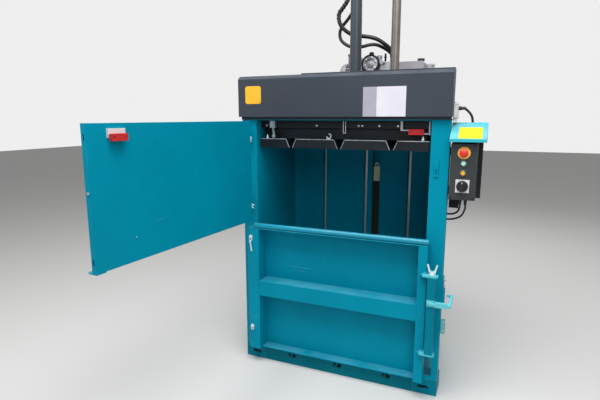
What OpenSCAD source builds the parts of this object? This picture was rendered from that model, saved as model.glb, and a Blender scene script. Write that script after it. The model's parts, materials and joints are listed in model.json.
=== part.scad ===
/* [Body] */
// Overall width over the two front posts
body_w = 1180; // [1140:10:1260]
// Depth of the frame from the post faces to the rear flanges
body_d = 700; // [700:10:800]
// Height of the underside of the crown above the floor
opening_z = 1496; // [1480:2:1560]
// Width of each front post
post_w = 92; // [84:1:100]
// Depth of the folded return on each post
post_d = 50; // [40:1:70]
// Thickness of the folded wall sheets
wall_t = 4; // [3:0.5:5]
// Height of the base ring
base_h = 92; // [88:1:110]
// Depth of the press chamber from the post faces to the back wall
chamber_d = 615; // [600:1:618]
// Size of the sloped plates in the two rear chamber corners
corner_cut = 46; // [30:1:60]

/* [Base] */
// Width of each front foot
foot_w = 130; // [110:1:150]
// Depth of each front foot
foot_d = 130; // [100:1:180]
// Length of the anchor slot in each foot
foot_slot_l = 58; // [40:1:80]
// Height of the anchor slot in each foot
foot_slot_h = 18; // [12:1:24]
// Diameter of the anchor bolt hole through the sole of each foot
anchor_d = 18; // [12:1:24]
// Width of the hollow rails of the base
base_rail_w = 70; // [50:1:80]
// Wall of the hollow rails of the base
base_rail_t = 5; // [3:0.5:8]
// Width of the strap outlets in the front sill
outlet_w = 52; // [40:1:60]
// Height of the strap outlets in the front sill
outlet_h = 24; // [16:1:30]
// Sideways offset of the outlets from the strap lines
outlet_shift = 16; // [0:1:24]

/* [Straps] */
// Distance between neighbouring strap lines
strap_pitch = 292; // [260:1:310]
// Width of the strap slots in the back wall
strap_slot_w = 24; // [16:1:30]
// Width of the strap grooves in the chamber floor
groove_w = 24; // [16:1:30]
// Depth of the strap grooves in the chamber floor
groove_d = 44; // [30:1:48]
// Width of the guide bars behind the strap slots
guide_bar_w = 14; // [10:1:16]
// Depth of the channels behind the strap slots
strap_channel_d = 24; // [18:1:30]
// Distance of the strap reel axle behind the frame
axle_back = 90; // [70:1:120]
// Height of the strap reel axle
axle_z = 430; // [380:1:520]
// Diameter of the strap reel axle
axle_d = 25; // [20:1:30]

/* [Press] */
// Height of the folded trays of the press plate
plate_h = 52; // [40:1:60]
// Sheet thickness of the press plate
plate_t = 5; // [4:0.5:8]
// Gap between the press plate and the chamber walls
plate_gap = 9; // [6:1:14]
// Width of a strap notch at the top of the press plate
notch_top_w = 62; // [50:1:80]
// Width of a strap notch at its open bottom
notch_low_w = 20; // [12:1:26]
// Height of the box beams on the press plate
beam_h = 60; // [50:1:70]
// Free height between the beams and the crown
head_room = 46; // [40:1:60]
// Full stroke of the press plate
stroke = 850; // [700:10:860]

/* [Cylinder] */
// Outer diameter of the cylinder barrel
barrel_d = 68; // [64:1:80]
// Bore of the cylinder barrel
bore_d = 58; // [52:1:60]
// Length of the cylinder barrel
barrel_l = 925; // [920:5:990]
// Diameter of the piston rod
rod_d = 40; // [32:1:45]
// Outer diameter of the guide tube
guide_d = 50; // [42:1:54]
// Distance of the guide tube from the cylinder
guide_x = 234; // [220:1:250]
// Diametral clearance of the sliding fits
slide_fit = 0.2; // [0.1:0.02:0.2]

/* [Header] */
// Height of the front panel of the header cover
header_h = 211; // [180:1:240]
// Distance of the header panel in front of the posts
header_out = 32; // [24:1:40]
// Sheet thickness of the header cover
header_t = 3; // [2:0.5:4]

/* [Upper door] */
// Width of the upper door
udoor_w = 1108; // [1095:1:1120]
// Angle that the upper door stands open at rest
udoor_open = 94.7; // [80:0.1:110]
// Depth of the folded edge of the upper door
udoor_d = 25; // [20:1:26]
// Sheet thickness of the upper door
udoor_t = 3; // [2:0.5:4]

/* [Bale door] */
// Height of the top of the round rail on the bale door
rail_z = 896; // [860:2:940]
// Diameter of the round rail
rail_d = 30; // [26:1:34]
// Distance of the front face of the bale door in front of the posts
bdoor_out = 71; // [66:1:76]
// Distance of the inner skin of the bale door behind the post faces
skin_in = 24; // [20:1:26]
// Sheet thickness of the bale door
bdoor_t = 4; // [3:0.5:5]
// Width of the hinge stile of the bale door
hinge_stile_w = 83; // [76:1:90]
// Width of the sloped strip along the hinge side of the bale door
hinge_slope_w = 26; // [16:1:30]
// Width of the lock stile of the bale door
lock_stile_w = 46; // [40:1:50]
// Height of the lower edge of the middle rail
mid_rail_z = 450; // [420:1:480]
// Height of the middle rail
mid_rail_h = 92; // [70:1:110]
// Distance of the bottom ledge in front of the posts
ledge_out = 37; // [30:1:45]

/* [Lock] */
// Width of the square lock bar
lock_w = 40; // [36:1:42]
// Height of the lower lock bracket
lock_low_z = 285; // [260:1:320]
// Height of the upper lock bracket
lock_top_z = 715; // [690:1:740]
// Thickness of the lock brackets
lock_lug_t = 10; // [8:1:12]
// Diameter of the pivot pin of the lock bar
lock_pin_d = 14; // [12:1:16]
// Height of the lock arm
lock_arm_z = 574; // [540:1:600]
// Height of the lock arm across the bar
lock_arm_h = 26; // [20:1:36]

/* [Controls] */
// Width of the control box
cbox_w = 124; // [118:1:130]
// Height of the control box
cbox_h = 278; // [270:1:300]
// Depth of the control box
cbox_d = 130; // [110:1:150]
// Gap between the post and the control box
cbox_gap = 8; // [5:1:12]
// Height of the lower edge of the control box
cbox_z = 1106; // [1090:1:1120]
// Wall thickness of the control box
cbox_t = 3; // [2:0.5:4]
// Diameter of the emergency stop collar
collar_d = 60; // [52:1:64]
// Diameter of the push button bezels
bezel_d = 29; // [26:1:32]
// Side of the main switch plate
switch_w = 65; // [56:1:68]
// Diameter of the main switch knob
knob_d = 55; // [46:1:58]

/* [Ejector] */
// Sideways place of the ejector belt and arm
ejector_x = 72; // [66:1:80]
// Width of the recess for the ejector belt
recess_w = 50; // [46:1:54]
// Width of the ejector arm
ejector_w = 92; // [80:1:100]

/* [Hidden] */
$fn = 64;

teal = [0.01, 0.51, 0.61];
slate = [0.27, 0.30, 0.34];
charcoal = [0.12, 0.14, 0.17];
black = [0.05, 0.05, 0.06];
zinc = [0.75, 0.77, 0.79];
half = body_w / 2;
in_x = half - post_w;
rear_x = in_x + 30;
floor_z = base_h + wall_t;
crown_h = 104;
crown_z = opening_z + crown_h;
crown_t = 5;
beam_w = 60;
strap_x = [-strap_pitch, 0, strap_pitch];
run_gap = 0.3;

// The press plate and what moves with it
plate_y0 = skin_in + bdoor_t + 4;
plate_y1 = chamber_d - plate_gap - 1;
plate_x = in_x - plate_gap;
plate_z = opening_z - head_room - beam_h - plate_h;
beams_z = plate_z + plate_h;
hub_z = beams_z + beam_h;
cyl_y = (plate_y0 + plate_y1) / 2 + 3.5;
barrel_z = opening_z + 49;
barrel_top = barrel_z + barrel_l;
piston_h = 40;
cap_depth = 14;
piston_gap = 13;
piston_top = barrel_top - cap_depth - piston_gap;
crown_gap = 100;
flange_t = 18;

// The power pack on the crown
pack_y = body_d - 170;
bearer_h = 20;
tray_t = 4;
pack_z = crown_z + bearer_h + tray_t;
motor_z = pack_z + 151;
pump_x = 55;
pump_z = pack_z + 211;
block_z = pump_z + 13;
tank_x = 298;
tank_top = pack_z + 214;

// The upper door
uh_x = -half + 54;
uh_y = -31;
udoor_z0 = rail_z + 9;
udoor_z1 = opening_z - 4;
upper_hinge_z = [udoor_z0 + 89, udoor_z1 - 100];
knuckle_d = 18;
knuckle_h = 26;

// The bale door
bd_x0 = -half + 48;
bd_x1 = bd_x0 + 1060 + (body_w - 1180);
rec_x0 = bd_x0 + hinge_stile_w;
rec_x1 = bd_x1 - lock_stile_w;
bdoor_z0 = floor_z + 4;
bdoor_z1 = rail_z - rail_d;
bh_x = bd_x0 + 16;
bh_y = -34;
bale_hinge_z = [245, 812];
bale_lug_h = 60;
bale_pin_d = 16;
skin_gap = 4;

// The lock
lk_x = bd_x1 + 29;
lk_y = -bdoor_out - 14;
lug_reach = 30;
keeper_x = half + 15;

// The controls
cb_x0 = half + cbox_gap;
cb_xc = cb_x0 + cbox_w / 2;
cb_y0 = -20;
estop_z = cbox_z + 234;
start_z = cbox_z + 183;
return_z = cbox_z + 135;
switch_z = cbox_z + 70;
btn_x = cb_xc + 1;

// A cuboid between two corners
module box(x0, x1, y0, y1, z0, z1) {
    translate([x0, y0, z0]) cube([x1 - x0, y1 - y0, z1 - z0]);
}

// Round bars along the three axes
module bar_x(y, z, x0, x1, d) {
    translate([x0, y, z]) rotate([0, 90, 0]) cylinder(d = d, h = x1 - x0);
}
module bar_y(x, z, y0, y1, d) {
    translate([x, y0, z]) rotate([-90, 0, 0]) cylinder(d = d, h = y1 - y0);
}
module bar_z(x, y, z0, z1, d) {
    translate([x, y, z0]) cylinder(d = d, h = z1 - z0);
}

// Profiles in the side view (y, z) and in the front view (x, z), drawn out along x or y
module prism_x(pts, x0, x1) {
    translate([x0, 0, 0]) rotate([90, 0, 90]) linear_extrude(x1 - x0) polygon(pts);
}
module prism_y(pts, y0, y1) {
    translate([0, y1, 0]) rotate([90, 0, 0]) linear_extrude(y1 - y0) polygon(pts);
}
module prism_z(pts, z0, z1) {
    translate([0, 0, z0]) linear_extrude(z1 - z0) polygon(pts);
}

// Places measured from the faces of the front posts
module at_front() {
    translate([0, -body_d / 2, 0]) children();
}
module both_sides() {
    children();
    mirror([1, 0, 0]) children();
}

// Section of a folded channel: web at u0, legs that reach to u1
function channel(u0, u1, v0, v1, t) = let (s = sign(u1 - u0))
    [[u0, v0], [u1, v0], [u1, v0 + t], [u0 + s * t, v0 + t],
     [u0 + s * t, v1 - t], [u1, v1 - t], [u1, v1], [u0, v1]];

// A slot with round ends, cut through a sheet from y0 to y1
module round_slot_y(x, z, w, h, y0, y1) {
    box(x - w / 2 + h / 2, x + w / 2 - h / 2, y0, y1, z - h / 2, z + h / 2);
    for (s = [-1, 1]) bar_y(x + s * (w - h) / 2, z, y0, y1, h);
}

// A hexagon bolt head with its shank below it
module hex_bolt(d, shank) {
    cylinder(d = d * 1.8, h = d * 0.65, $fn = 6);
    translate([0, 0, -shank]) cylinder(d = d, h = shank);
}

// Front feet: closed boxes with an anchor slot in the face and a bolt hole in the sole
module foot() {
    t = base_rail_t;
    difference() {
        box(half - foot_w, half, 0, foot_d, 0, base_h);
        box(half - foot_w + t, half - t, t, foot_d + 1, t, base_h - t);
        round_slot_y(half - 73, 42, foot_slot_l, foot_slot_h, -1, t + 1);
        bar_z(half - foot_w / 2, foot_d / 2, -1, t + 1, anchor_d);
    }
}
module base_feet() {
    color(teal) at_front() both_sides() foot();
}

// Hollow side rails, rear sill and flat tie of the base ring
module base_frame() {
    t = base_rail_t;
    rail_x = in_x - base_rail_w / 2 - 3;
    color(teal) at_front() {
        both_sides() difference() {
            box(rail_x, rail_x + base_rail_w, foot_d + run_gap, body_d, 0, base_h);
            box(rail_x + t, rail_x + base_rail_w - t, foot_d, body_d + 1, t, base_h - t);
        }
        prism_x(channel(body_d, body_d - beam_w, 0, base_h, t), -rail_x + run_gap, rail_x - run_gap);
        box(-tie_w / 2, tie_w / 2, skin_in + run_gap, body_d - beam_w - run_gap, 0, tie_h);
    }
}

// Front sill between the feet, with the strap outlets and room for the strap grooves
module front_sill() {
    x1 = half - foot_w - run_gap;
    color(teal) at_front() difference() {
        prism_x(channel(0, skin_in, 0, base_h, wall_t), -x1, x1);
        for (x = strap_x) {
            round_slot_y(x + outlet_shift, 58, outlet_w, outlet_h, -1, wall_t + 1);
            box(x - groove_w / 2 - wall_t - 1, x + groove_w / 2 + wall_t + 1, wall_t, skin_in + 1,
                base_h - wall_t - 1, base_h + 1);
        }
    }
}
tie_w = 90;
tie_h = 8;

// A folded channel that runs along x, y or z, with its opening turned to the side of u1
function swapped(pts) = [for (p = pts) [p[1], p[0]]];

// Chamber floor: four plates, and between each two a strap groove of two walls and a bottom strip
module floor_plate() {
    t = wall_t;
    g = groove_w / 2 + t;
    cuts = concat([-in_x + 0.5], [for (x = strap_x) each [x - g - run_gap, x + g + run_gap]], [in_x - 0.5]);
    color(teal) at_front() {
        for (i = [0:3]) box(cuts[2 * i], cuts[2 * i + 1], t + 1, chamber_d, floor_z - t, floor_z);
        for (x = strap_x) {
            for (s = [-1, 1]) box(x + s * (g - t / 2) - t / 2, x + s * (g - t / 2) + t / 2, t + 1, chamber_d,
                floor_z - groove_d - t, floor_z);
            box(x - g + t + run_gap, x + g - t - run_gap, t + 1, chamber_d, floor_z - groove_d - t, floor_z - groove_d);
        }
    }
}
ej_y = 64;
ej_pin_d = 12;
ej_z = floor_z + 14;

// Side of the frame: one sheet folded into the post in front and a flange behind, with ribs outside
module side_shell() {
    t = wall_t;
    pts = [[in_x, 0], [half, 0], [half, post_d], [half - t, post_d], [half - t, t], [in_x + t, t],
           [in_x + t, body_d - t], [rear_x, body_d - t], [rear_x, body_d], [in_x, body_d]];
    prism_z(pts, base_h, opening_z);
    for (z = [330, 760, 1190]) prism_y(channel(rear_x - t, in_x + t, z, z + 60, t), t, body_d - t);
}
module left_side() {
    color(teal) at_front() mirror([1, 0, 0]) side_shell();
}
module right_side() {
    color(teal) at_front() difference() {
        side_shell();
        box(half - 76, half - 34, -1, wall_t + 1, 115, 215);
    }
}

// Sloped plates that stiffen the rear corners of the chamber
module corner_plates() {
    a = corner_cut;
    b = corner_cut + wall_t * sqrt(2);
    color(teal) at_front() both_sides()
        prism_z([[in_x, chamber_d - a], [in_x, chamber_d - b], [in_x - b, chamber_d], [in_x - a, chamber_d]],
            floor_z, opening_z);
}

// Back wall with three strap slots and the opening of the ejector recess
slot_z0 = 140;
slot_z1 = opening_z - 56;
module back_wall() {
    color(teal) at_front() difference() {
        box(-in_x, in_x, chamber_d, chamber_d + wall_t, base_h, opening_z);
        for (x = strap_x)
            box(x - strap_slot_w / 2, x + strap_slot_w / 2, chamber_d - 1, chamber_d + wall_t + 1, slot_z0, slot_z1);
        box(ejector_x - recess_w / 2, ejector_x + recess_w / 2, chamber_d - 1, chamber_d + wall_t + 1,
            floor_z + 30, slot_z1);
    }
}

// Channels behind the strap slots and the deeper one that holds the ejector belt
back_y = chamber_d + wall_t;
recess_d = 38;
rib_d = 56;
strap_half = strap_slot_w / 2 + wall_t + 1;
belt_half = recess_w / 2 + wall_t;
module strap_channels() {
    t = wall_t;
    color(teal) at_front() {
        for (x = strap_x)
            prism_z(swapped(channel(back_y + strap_channel_d, back_y, x - strap_half, x + strap_half, t)),
                slot_z0 - 24, slot_z1 + 20);
        prism_z(swapped(channel(back_y + recess_d, back_y, ejector_x - belt_half, ejector_x + belt_half, t)),
            floor_z + 20, slot_z1 + 20);
    }
}

// Ribs across the back wall: channel pieces between those uprights, tied by a flat bar behind them
module rear_ribs() {
    t = wall_t;
    g = run_gap;
    ends = [-in_x, strap_x[0] - strap_half - g, strap_x[0] + strap_half + g, -strap_half - g, strap_half + g,
        ejector_x - belt_half - g, ejector_x + belt_half + g, strap_x[2] - strap_half - g,
        strap_x[2] + strap_half + g, in_x];
    color(teal) at_front() for (z = [260, 640, 1020, 1400]) {
        for (i = [0:4])
            prism_x(channel(back_y, back_y + rib_d, z, z + 60, t), ends[2 * i], ends[2 * i + 1]);
        box(-in_x + g, in_x - g, back_y + rib_d + g, back_y + rib_d + 6, z, z + 60);
    }
}

// Flat guide bars that lead the straps down in their channels
module strap_guides() {
    y = back_y + strap_channel_d - wall_t;
    color(zinc) at_front() for (x = strap_x)
        box(x - guide_bar_w / 2, x + guide_bar_w / 2, y - 3, y, 200, slot_z1 - 10);
}

// Crown: lintel, rear beam, side rails, two cross beams and the roof plate between them
cross_y = [cyl_y - crown_gap / 2, cyl_y + crown_gap / 2];
module top_frame() {
    t = crown_t;
    color(teal) at_front() difference() {
        union() {
            prism_x(channel(0, beam_w + 2, opening_z, crown_z, t), -half, half);
            prism_x(channel(body_d, body_d - beam_w - 2, opening_z, crown_z, t), -rear_x, rear_x);
            prism_x(channel(cross_y[0], cross_y[0] - beam_w, opening_z, crown_z, t), -in_x, in_x);
            prism_x(channel(cross_y[1], cross_y[1] + beam_w, opening_z, crown_z, t), -in_x, in_x);
            both_sides() prism_y(channel(in_x, in_x + beam_w, opening_z, crown_z, t), 5, body_d - 5);
            box(-in_x, in_x, beam_w, body_d - beam_w, opening_z, opening_z + t);
        }
        bar_z(0, cyl_y, opening_z - 1, opening_z + t + 1, head_d + 6);
        bar_z(guide_x, cyl_y, opening_z - 1, opening_z + t + 1, bush_d + 4);
        at_crown_bolts() bar_z(0, 0, -t - 1, 1, crown_bolt_d);
    }
}

// Bolt places of the cylinder flange and of the guide bush on the crown
crown_bolt_d = 16;
flange_x = 180;
bush_x = 124;
bolt_dx = 64;
bush_dx = 42;
bolt_dy = crown_gap / 2 + beam_w / 2;
module at_crown_bolts() {
    for (sy = [-1, 1], sx = [-1, 1]) {
        translate([sx * bolt_dx, cyl_y + sy * bolt_dy, crown_z]) children();
        translate([guide_x + sx * bush_dx, cyl_y + sy * bolt_dy, crown_z]) children();
    }
}

// Header cover: one folded panel with closed ends
module header_cover() {
    t = header_t;
    o = -header_out;
    z0 = opening_z + 19;
    z1 = z0 + header_h;
    z2 = z1 + 18;
    back = 60;
    b = o + 22;
    pts = [[back, z2], [b, z2], [o, z1], [o, z0], [-t, z0], [-t, opening_z + 4], [0, opening_z + 4],
           [0, z0 + t], [o + t, z0 + t], [o + t, z1 - 1.4], [b + 1.1, z2 - t], [back, z2 - t]];
    cap = [[back, z2], [b, z2], [o, z1], [o, z0], [back, z0]];
    color(slate) at_front() {
        prism_x(pts, -half - 3, half + 3);
        both_sides() prism_x(cap, half + 3, half + 6);
    }
}

// Angle that closes the gap under the lintel
module top_baffle() {
    z0 = hub_z + 2;
    color(black) at_front() prism_x([[62, z0], [58, z0], [58, opening_z - 4], [30, opening_z - 4],
        [30, opening_z], [62, opening_z]], -in_x + 2, in_x - 2);
}

// Hydraulic cylinder: barrel with its foot flange, screwed head, and cap with two ports
head_d = 90;
module cylinder_barrel() {
    color([0.31, 0.35, 0.39]) at_front() difference() {
        union() {
            bar_z(0, cyl_y, barrel_z, barrel_top, barrel_d);
            box(-flange_x / 2, flange_x / 2, cyl_y - crown_gap / 2 - beam_w, cyl_y + crown_gap / 2 + beam_w,
                crown_z, crown_z + flange_t);
            bar_z(0, cyl_y, crown_z, crown_z + flange_t + 14, barrel_d + 16);
        }
        bar_z(0, cyl_y, barrel_z - 1, barrel_top + 1, bore_d);
        for (sx = [-1, 1], sy = [-1, 1])
            bar_z(sx * bolt_dx, cyl_y + sy * bolt_dy, crown_z - 1, crown_z + flange_t + 1, crown_bolt_d);
    }
}
module cylinder_ends() {
    color([0.31, 0.35, 0.39]) at_front() {
        difference() {
            bar_z(0, cyl_y, barrel_z - 30, barrel_z + 30, head_d);
            bar_z(0, cyl_y, barrel_z - 31, barrel_z + 1, rod_d + slide_fit);
            bar_z(0, cyl_y, barrel_z, barrel_z + 31, barrel_d);
        }
        bar_z(0, cyl_y, barrel_top, barrel_top + 30, barrel_d + 8);
        bar_z(0, cyl_y, barrel_top - cap_depth, barrel_top, bore_d);
        bar_x(cyl_y, barrel_top + 14, -barrel_d / 2 - 14, 0, 26);
        bar_y(0, barrel_top + 14, cyl_y, cyl_y + barrel_d / 2 + 14, 26);
    }
}

// Bush that guides the moving tube, flanged on the crown
bush_d = guide_d + 16;
module guide_bush() {
    color(zinc) at_front() difference() {
        union() {
            box(guide_x - bush_x / 2, guide_x + bush_x / 2, cyl_y - crown_gap / 2 - beam_w,
                cyl_y + crown_gap / 2 + beam_w, crown_z, crown_z + 12);
            bar_z(guide_x, cyl_y, opening_z + 8, crown_z + 40, bush_d);
        }
        bar_z(guide_x, cyl_y, opening_z, crown_z + 41, guide_d + slide_fit);
        for (sx = [-1, 1], sy = [-1, 1])
            bar_z(guide_x + sx * bush_dx, cyl_y + sy * bolt_dy, crown_z - 1, crown_z + 13, crown_bolt_d);
    }
}

// Tray of the power pack on two bearers, and the guard in front of it
tray_x0 = -170;
tray_x1 = 410;
tray_y0 = pack_y - 96;
tray_y1 = pack_y + 154;
module pack_tray() {
    t = tray_t;
    color(slate) at_front() {
        for (x = [tray_x0 + 20, tray_x1 - 60])
            box(x, x + 40, cross_y[1] + 2, body_d, crown_z, crown_z + bearer_h);
        translate([0, 0, pack_z - t]) prism_x([[tray_y0, 0], [tray_y1, 0], [tray_y1, 30], [tray_y1 - t, 30],
            [tray_y1 - t, t], [tray_y0 + t, t], [tray_y0 + t, 30], [tray_y0, 30]], tray_x0, tray_x1);
    }
}
module pack_guard() {
    t = header_t;
    y0 = cross_y[0] - 48;
    x0 = -309;
    x1 = half - 15;
    color(slate) at_front() difference() {
        box(x0, x1, y0, y0 + 60, crown_z, crown_z + 173);
        box(x0 + t, x1 - t, y0 + t, y0 + 61, crown_z + t, crown_z + 174);
        box(-flange_x / 2 - 5, guide_x + bush_x / 2 + 5, cross_y[0] - beam_w - 2, y0 + 61, crown_z - 1,
            crown_z + 20);
    }
}

// Electric motor with cooling fins, domed fan cover and feet
motor_x0 = -152;
motor_x1 = pump_x - 55;
module power_motor() {
    r = 70;
    color([0.68, 0.68, 0.69]) at_front() translate([0, pack_y, motor_z]) rotate([0, 90, 0]) {
        translate([0, 0, motor_x0 + 46]) cylinder(r = r - 8, h = motor_x1 - motor_x0 - 46);
        translate([0, 0, motor_x0]) rotate_extrude() polygon(concat([[0, 0]],
            [for (a = [0:15:90]) [r - 30 + 34 * sin(a), 34 - 34 * cos(a)]], [[r + 4, 46], [0, 46]]));
        for (i = [0:17]) rotate([0, 0, i * 20]) translate([r - 10, -1.5, motor_x0 + 46])
            cube([12, 3, motor_x1 - motor_x0 - 66]);
        translate([0, 0, motor_x1 - 20]) cylinder(r = r + 4, h = 20);
    }
    color([0.68, 0.68, 0.69]) at_front() for (x = [motor_x0 + 70, motor_x1 - 40])
        box(x, x + 24, pack_y - 50, pack_y + 50, pack_z, motor_z - r + 18);
}

// Pump and valve block with its port faces
block_x1 = 203;
module pump_block() {
    color([0.80, 0.81, 0.83]) at_front() {
        difference() {
            bar_y(pump_x, pump_z, pack_y - 78, pack_y + 50, 88);
            bar_y(pump_x, pump_z, pack_y - 79, pack_y - 66, 60);
        }
        bar_y(pump_x, pump_z, pack_y - 88, pack_y - 60, 34);
        box(motor_x1, pump_x + 40, pack_y - 45, pack_y + 45, pack_z, pump_z - 40);
        box(pump_x + 36, block_x1, pack_y - 50, pack_y + 46, pack_z, block_z);
        bar_z(pump_x + 46, pack_y - 30, block_z, pump_z + 52, 30);
        bar_z(pump_x + 20, pack_y + 10, pump_z + 20, pump_z + 52, 34);
        bar_y(pump_x + 72, pump_z + 8, pack_y - 84, pack_y - 50, 26);
    }
}
module valve_coils() {
    color(black) at_front() {
        difference() {
            bar_y(pump_x, pump_z, pack_y - 76, pack_y - 50, 112);
            bar_y(pump_x, pump_z, pack_y - 77, pack_y - 49, 88);
        }
        bar_z(pump_x + 76, pack_y, block_z, pump_z + 66, 12);
        bar_z(pump_x + 4, pack_y - 63, pump_z + 46, pump_z + 66, 28);
    }
}

// Oil tank with rounded shoulders and its filler cap
module oil_tank() {
    w = 172;
    d = 180;
    r = 12;
    x0 = block_x1 + 4;
    color([0.68, 0.67, 0.68]) at_front() {
        box(x0, x0 + w, pack_y - d / 2, pack_y + d / 2, pack_z, tank_top - r);
        box(x0 + r, x0 + w - r, pack_y - d / 2, pack_y + d / 2, tank_top - r - 1, tank_top);
        for (x = [x0 + r, x0 + w - r]) bar_y(x, tank_top - r, pack_y - d / 2, pack_y + d / 2, 2 * r);
    }
}
module tank_cap() {
    color(black) at_front() translate([tank_x + 50, pack_y, tank_top]) {
        cylinder(d = 30, h = 8);
        translate([0, 0, 8]) difference() {
            cylinder(d = 42, h = 14);
            for (i = [0:11]) rotate([0, 0, i * 30]) translate([22.5, 0, -1]) cylinder(d = 5, h = 16);
        }
    }
}

// Points of a hose, carried along with the cylinder above and with the power pack below
function share(z, low, high) = max(0, min(1, (z - low) / (high - low)));
function hose_run(p) = [for (q = p) let (a = share(q[2], 1886, 1936), b = share(q[2], 1886, 2440))
    [q[0], q[1] + a * (cyl_y - 322) + (1 - a) * (pack_y - 530), q[2] + b * (barrel_top - 2470) + (1 - b) * (pump_z - 1835)]];
// Points of a cable, carried along with the right side of the frame
function cable_run(p) = [for (q = p) [q[0] + half - 590, q[1], q[2]]];

// Routes of the two pressure hoses and of the control cables, as points along each run
hose_a = hose_run([[-62, 322, 2462], [-62, 322, 2440], [-60, 325, 2350], [-56, 331, 2260], [-58, 338, 2195],
    [-86, 345, 2155], [-115, 350, 2119], [-110, 356, 2063], [-72, 376, 2019], [-21, 390, 1996],
    [24, 396, 1990], [67, 407, 1983], [108, 421, 1969], [151, 442, 1939], [184, 470, 1908],
    [190, 484, 1886], [190, 484, 1872]]);
hose_b = hose_run([[0, 384, 2462], [0, 384, 2440], [0, 386, 2300], [-8, 389, 2200], [-39, 394, 2142],
    [-75, 402, 2096], [-106, 407, 2065], [-128, 410, 2027], [-120, 410, 1979], [-75, 410, 1943],
    [-24, 408, 1931], [19, 410, 1933], [59, 420, 1942], [100, 440, 1941], [146, 478, 1918],
    [172, 512, 1894], [174, 516, 1884], [174, 516, 1872]]);
cable_top = cable_run([[632, 40, 1556], [644, 40, 1556], [660, 50, 1545], [676, 62, 1526], [684, 72, 1505],
    [686, 80, 1470], [677, 84, 1430], [676, 84, 1412], [676, 84, 1396]]);
cable_low = cable_run([[650, 45, 1092], [650, 45, 1078], [650, 50, 1060], [640, 72, 1030], [612, 120, 1006], [566, 178, 992],
    [536, 226, 985], [526, 232, 985], [516, 232, 985]]);
cable_low2 = cable_run([[676, 45, 1092], [676, 45, 1076], [676, 52, 1050], [658, 84, 1006], [618, 136, 976], [568, 196, 958],
    [538, 246, 950], [526, 254, 950], [516, 254, 950]]);

// A smooth curve through the points, with k steps to each stretch
function spline(p, k) = let (n = len(p)) [for (i = [0:n - 2], j = [0:k - 1])
    let (a = p[max(i - 1, 0)], b = p[i], c = p[i + 1], d = p[min(i + 2, n - 1)], t = j / k)
    0.5 * ((2 * b) + (c - a) * t + (2 * a - 5 * b + 4 * c - d) * t * t + (3 * b - a - 3 * c + d) * t * t * t),
    p[n - 1]];
function unit(v) = v / norm(v);
// Direction of the curve q at point i, which at both ends is that of its control points p
function heading(p, q, i) = let (n = len(q), e = len(p) - 1)
    i == 0 ? unit(p[1] - p[0]) : i == n - 1 ? unit(p[e] - p[e - 1]) : unit(q[i + 1] - q[i - 1]);
// Corners of a ring round point c, square to direction t
function ring(c, t, r, m) = let (u = unit(cross(t, [0.2, 1, 0.1])), v = cross(t, u))
    [for (j = [0:m - 1]) c + r * (cos(360 * j / m) * u + sin(360 * j / m) * v)];
module tube_along(p, r, k, m) {
    q = spline(p, k);
    n = len(q);
    pts = [for (i = [0:n - 1]) each ring(q[i], heading(p, q, i), r, m)];
    sides = [for (i = [0:n - 2], j = [0:m - 1])
        [i * m + j, i * m + (j + 1) % m, (i + 1) * m + (j + 1) % m, (i + 1) * m + j]];
    ends = [[for (j = [m - 1:-1:0]) j], [for (j = [0:m - 1]) (n - 1) * m + j]];
    polyhedron(pts, concat(sides, ends));
}
hose_r = [13, 11];
cable_r = 5;
module hoses() {
    color(black) at_front() {
        tube_along(hose_a, hose_r[0], 2, 10);
        tube_along(hose_b, hose_r[1], 2, 10);
    }
}
module control_cables() {
    color(black) at_front() {
        tube_along(cable_top, cable_r + 1, 2, 8);
        tube_along(cable_low, cable_r, 2, 8);
        tube_along(cable_low2, cable_r, 2, 8);
    }
}

// Elbows and ferrules at both ends of the hoses
module elbow_x(end, d) {
    z = barrel_top + 14;
    bar_x(cyl_y, z, end[0] - 13, -barrel_d / 2 - 14, d);
    bar_z(end[0], cyl_y, end[2], z, d);
}
module hose_fittings() {
    z = barrel_top + 14;
    color(zinc) at_front() {
        elbow_x(hose_a[0], 26);
        bar_y(0, z, cyl_y + barrel_d / 2 + 14, hose_b[0][1] + 12, 24);
        bar_z(0, hose_b[0][1], hose_b[0][2], z, 24);
        for (h = [[hose_a, 26], [hose_b, 22]]) {
            p = h[0][len(h[0]) - 1];
            bar_z(p[0], p[1], block_z, p[2], h[1]);
        }
    }
}

// Safety switch of the upper door, its hanging bracket, and the limit switch of the press
sw_x = [378, 456];
sw_y = [32, 56];
sw_z = [opening_z - 74, opening_z - 45];
module door_switch() {
    color([0.75, 0.12, 0.13]) at_front() difference() {
        box(sw_x[0], sw_x[1], sw_y[0], sw_y[1], sw_z[0], sw_z[1]);
        for (x = [sw_x[0] + 9, sw_x[1] - 9]) bar_y(x, (sw_z[0] + sw_z[1]) / 2, sw_y[0] - 1, sw_y[0] + 4, 9);
    }
}
module switch_bracket() {
    x0 = sw_x[0] - 44;
    color(zinc) at_front() {
        box(x0, x0 + 12, 44, 47, sw_z[1] - 9, opening_z - 4);
        box(x0, sw_x[0], 44, 47, sw_z[1] - 9, sw_z[1] - 3);
        box(x0, x0 + 12, 32, 47, opening_z - 7, opening_z - 4);
        box(sw_x[1], sw_x[1] + 28, 44, 47, sw_z[0] + 3, sw_z[0] + 9);
        bar_z(sw_x[1] + 28, 45, sw_z[0], opening_z - 4, 13);
        for (x = [20, 33]) bar_z(x, 45, opening_z - 72, opening_z - 4, 5);
        bar_x(45, opening_z - 70, 20, 33, 5);
    }
}
module limit_switch() {
    x = -411;
    color(zinc) at_front() {
        box(x - 16, x + 16, 34, 56, opening_z - 44, opening_z - 4);
        prism_y([[x - 5, opening_z - 44], [x + 5, opening_z - 44], [x + 12, beams_z + 20], [x, beams_z + 20]],
            42, 46);
        bar_y(x + 6, beams_z + 14, 36, 52, 20);
    }
}

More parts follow.
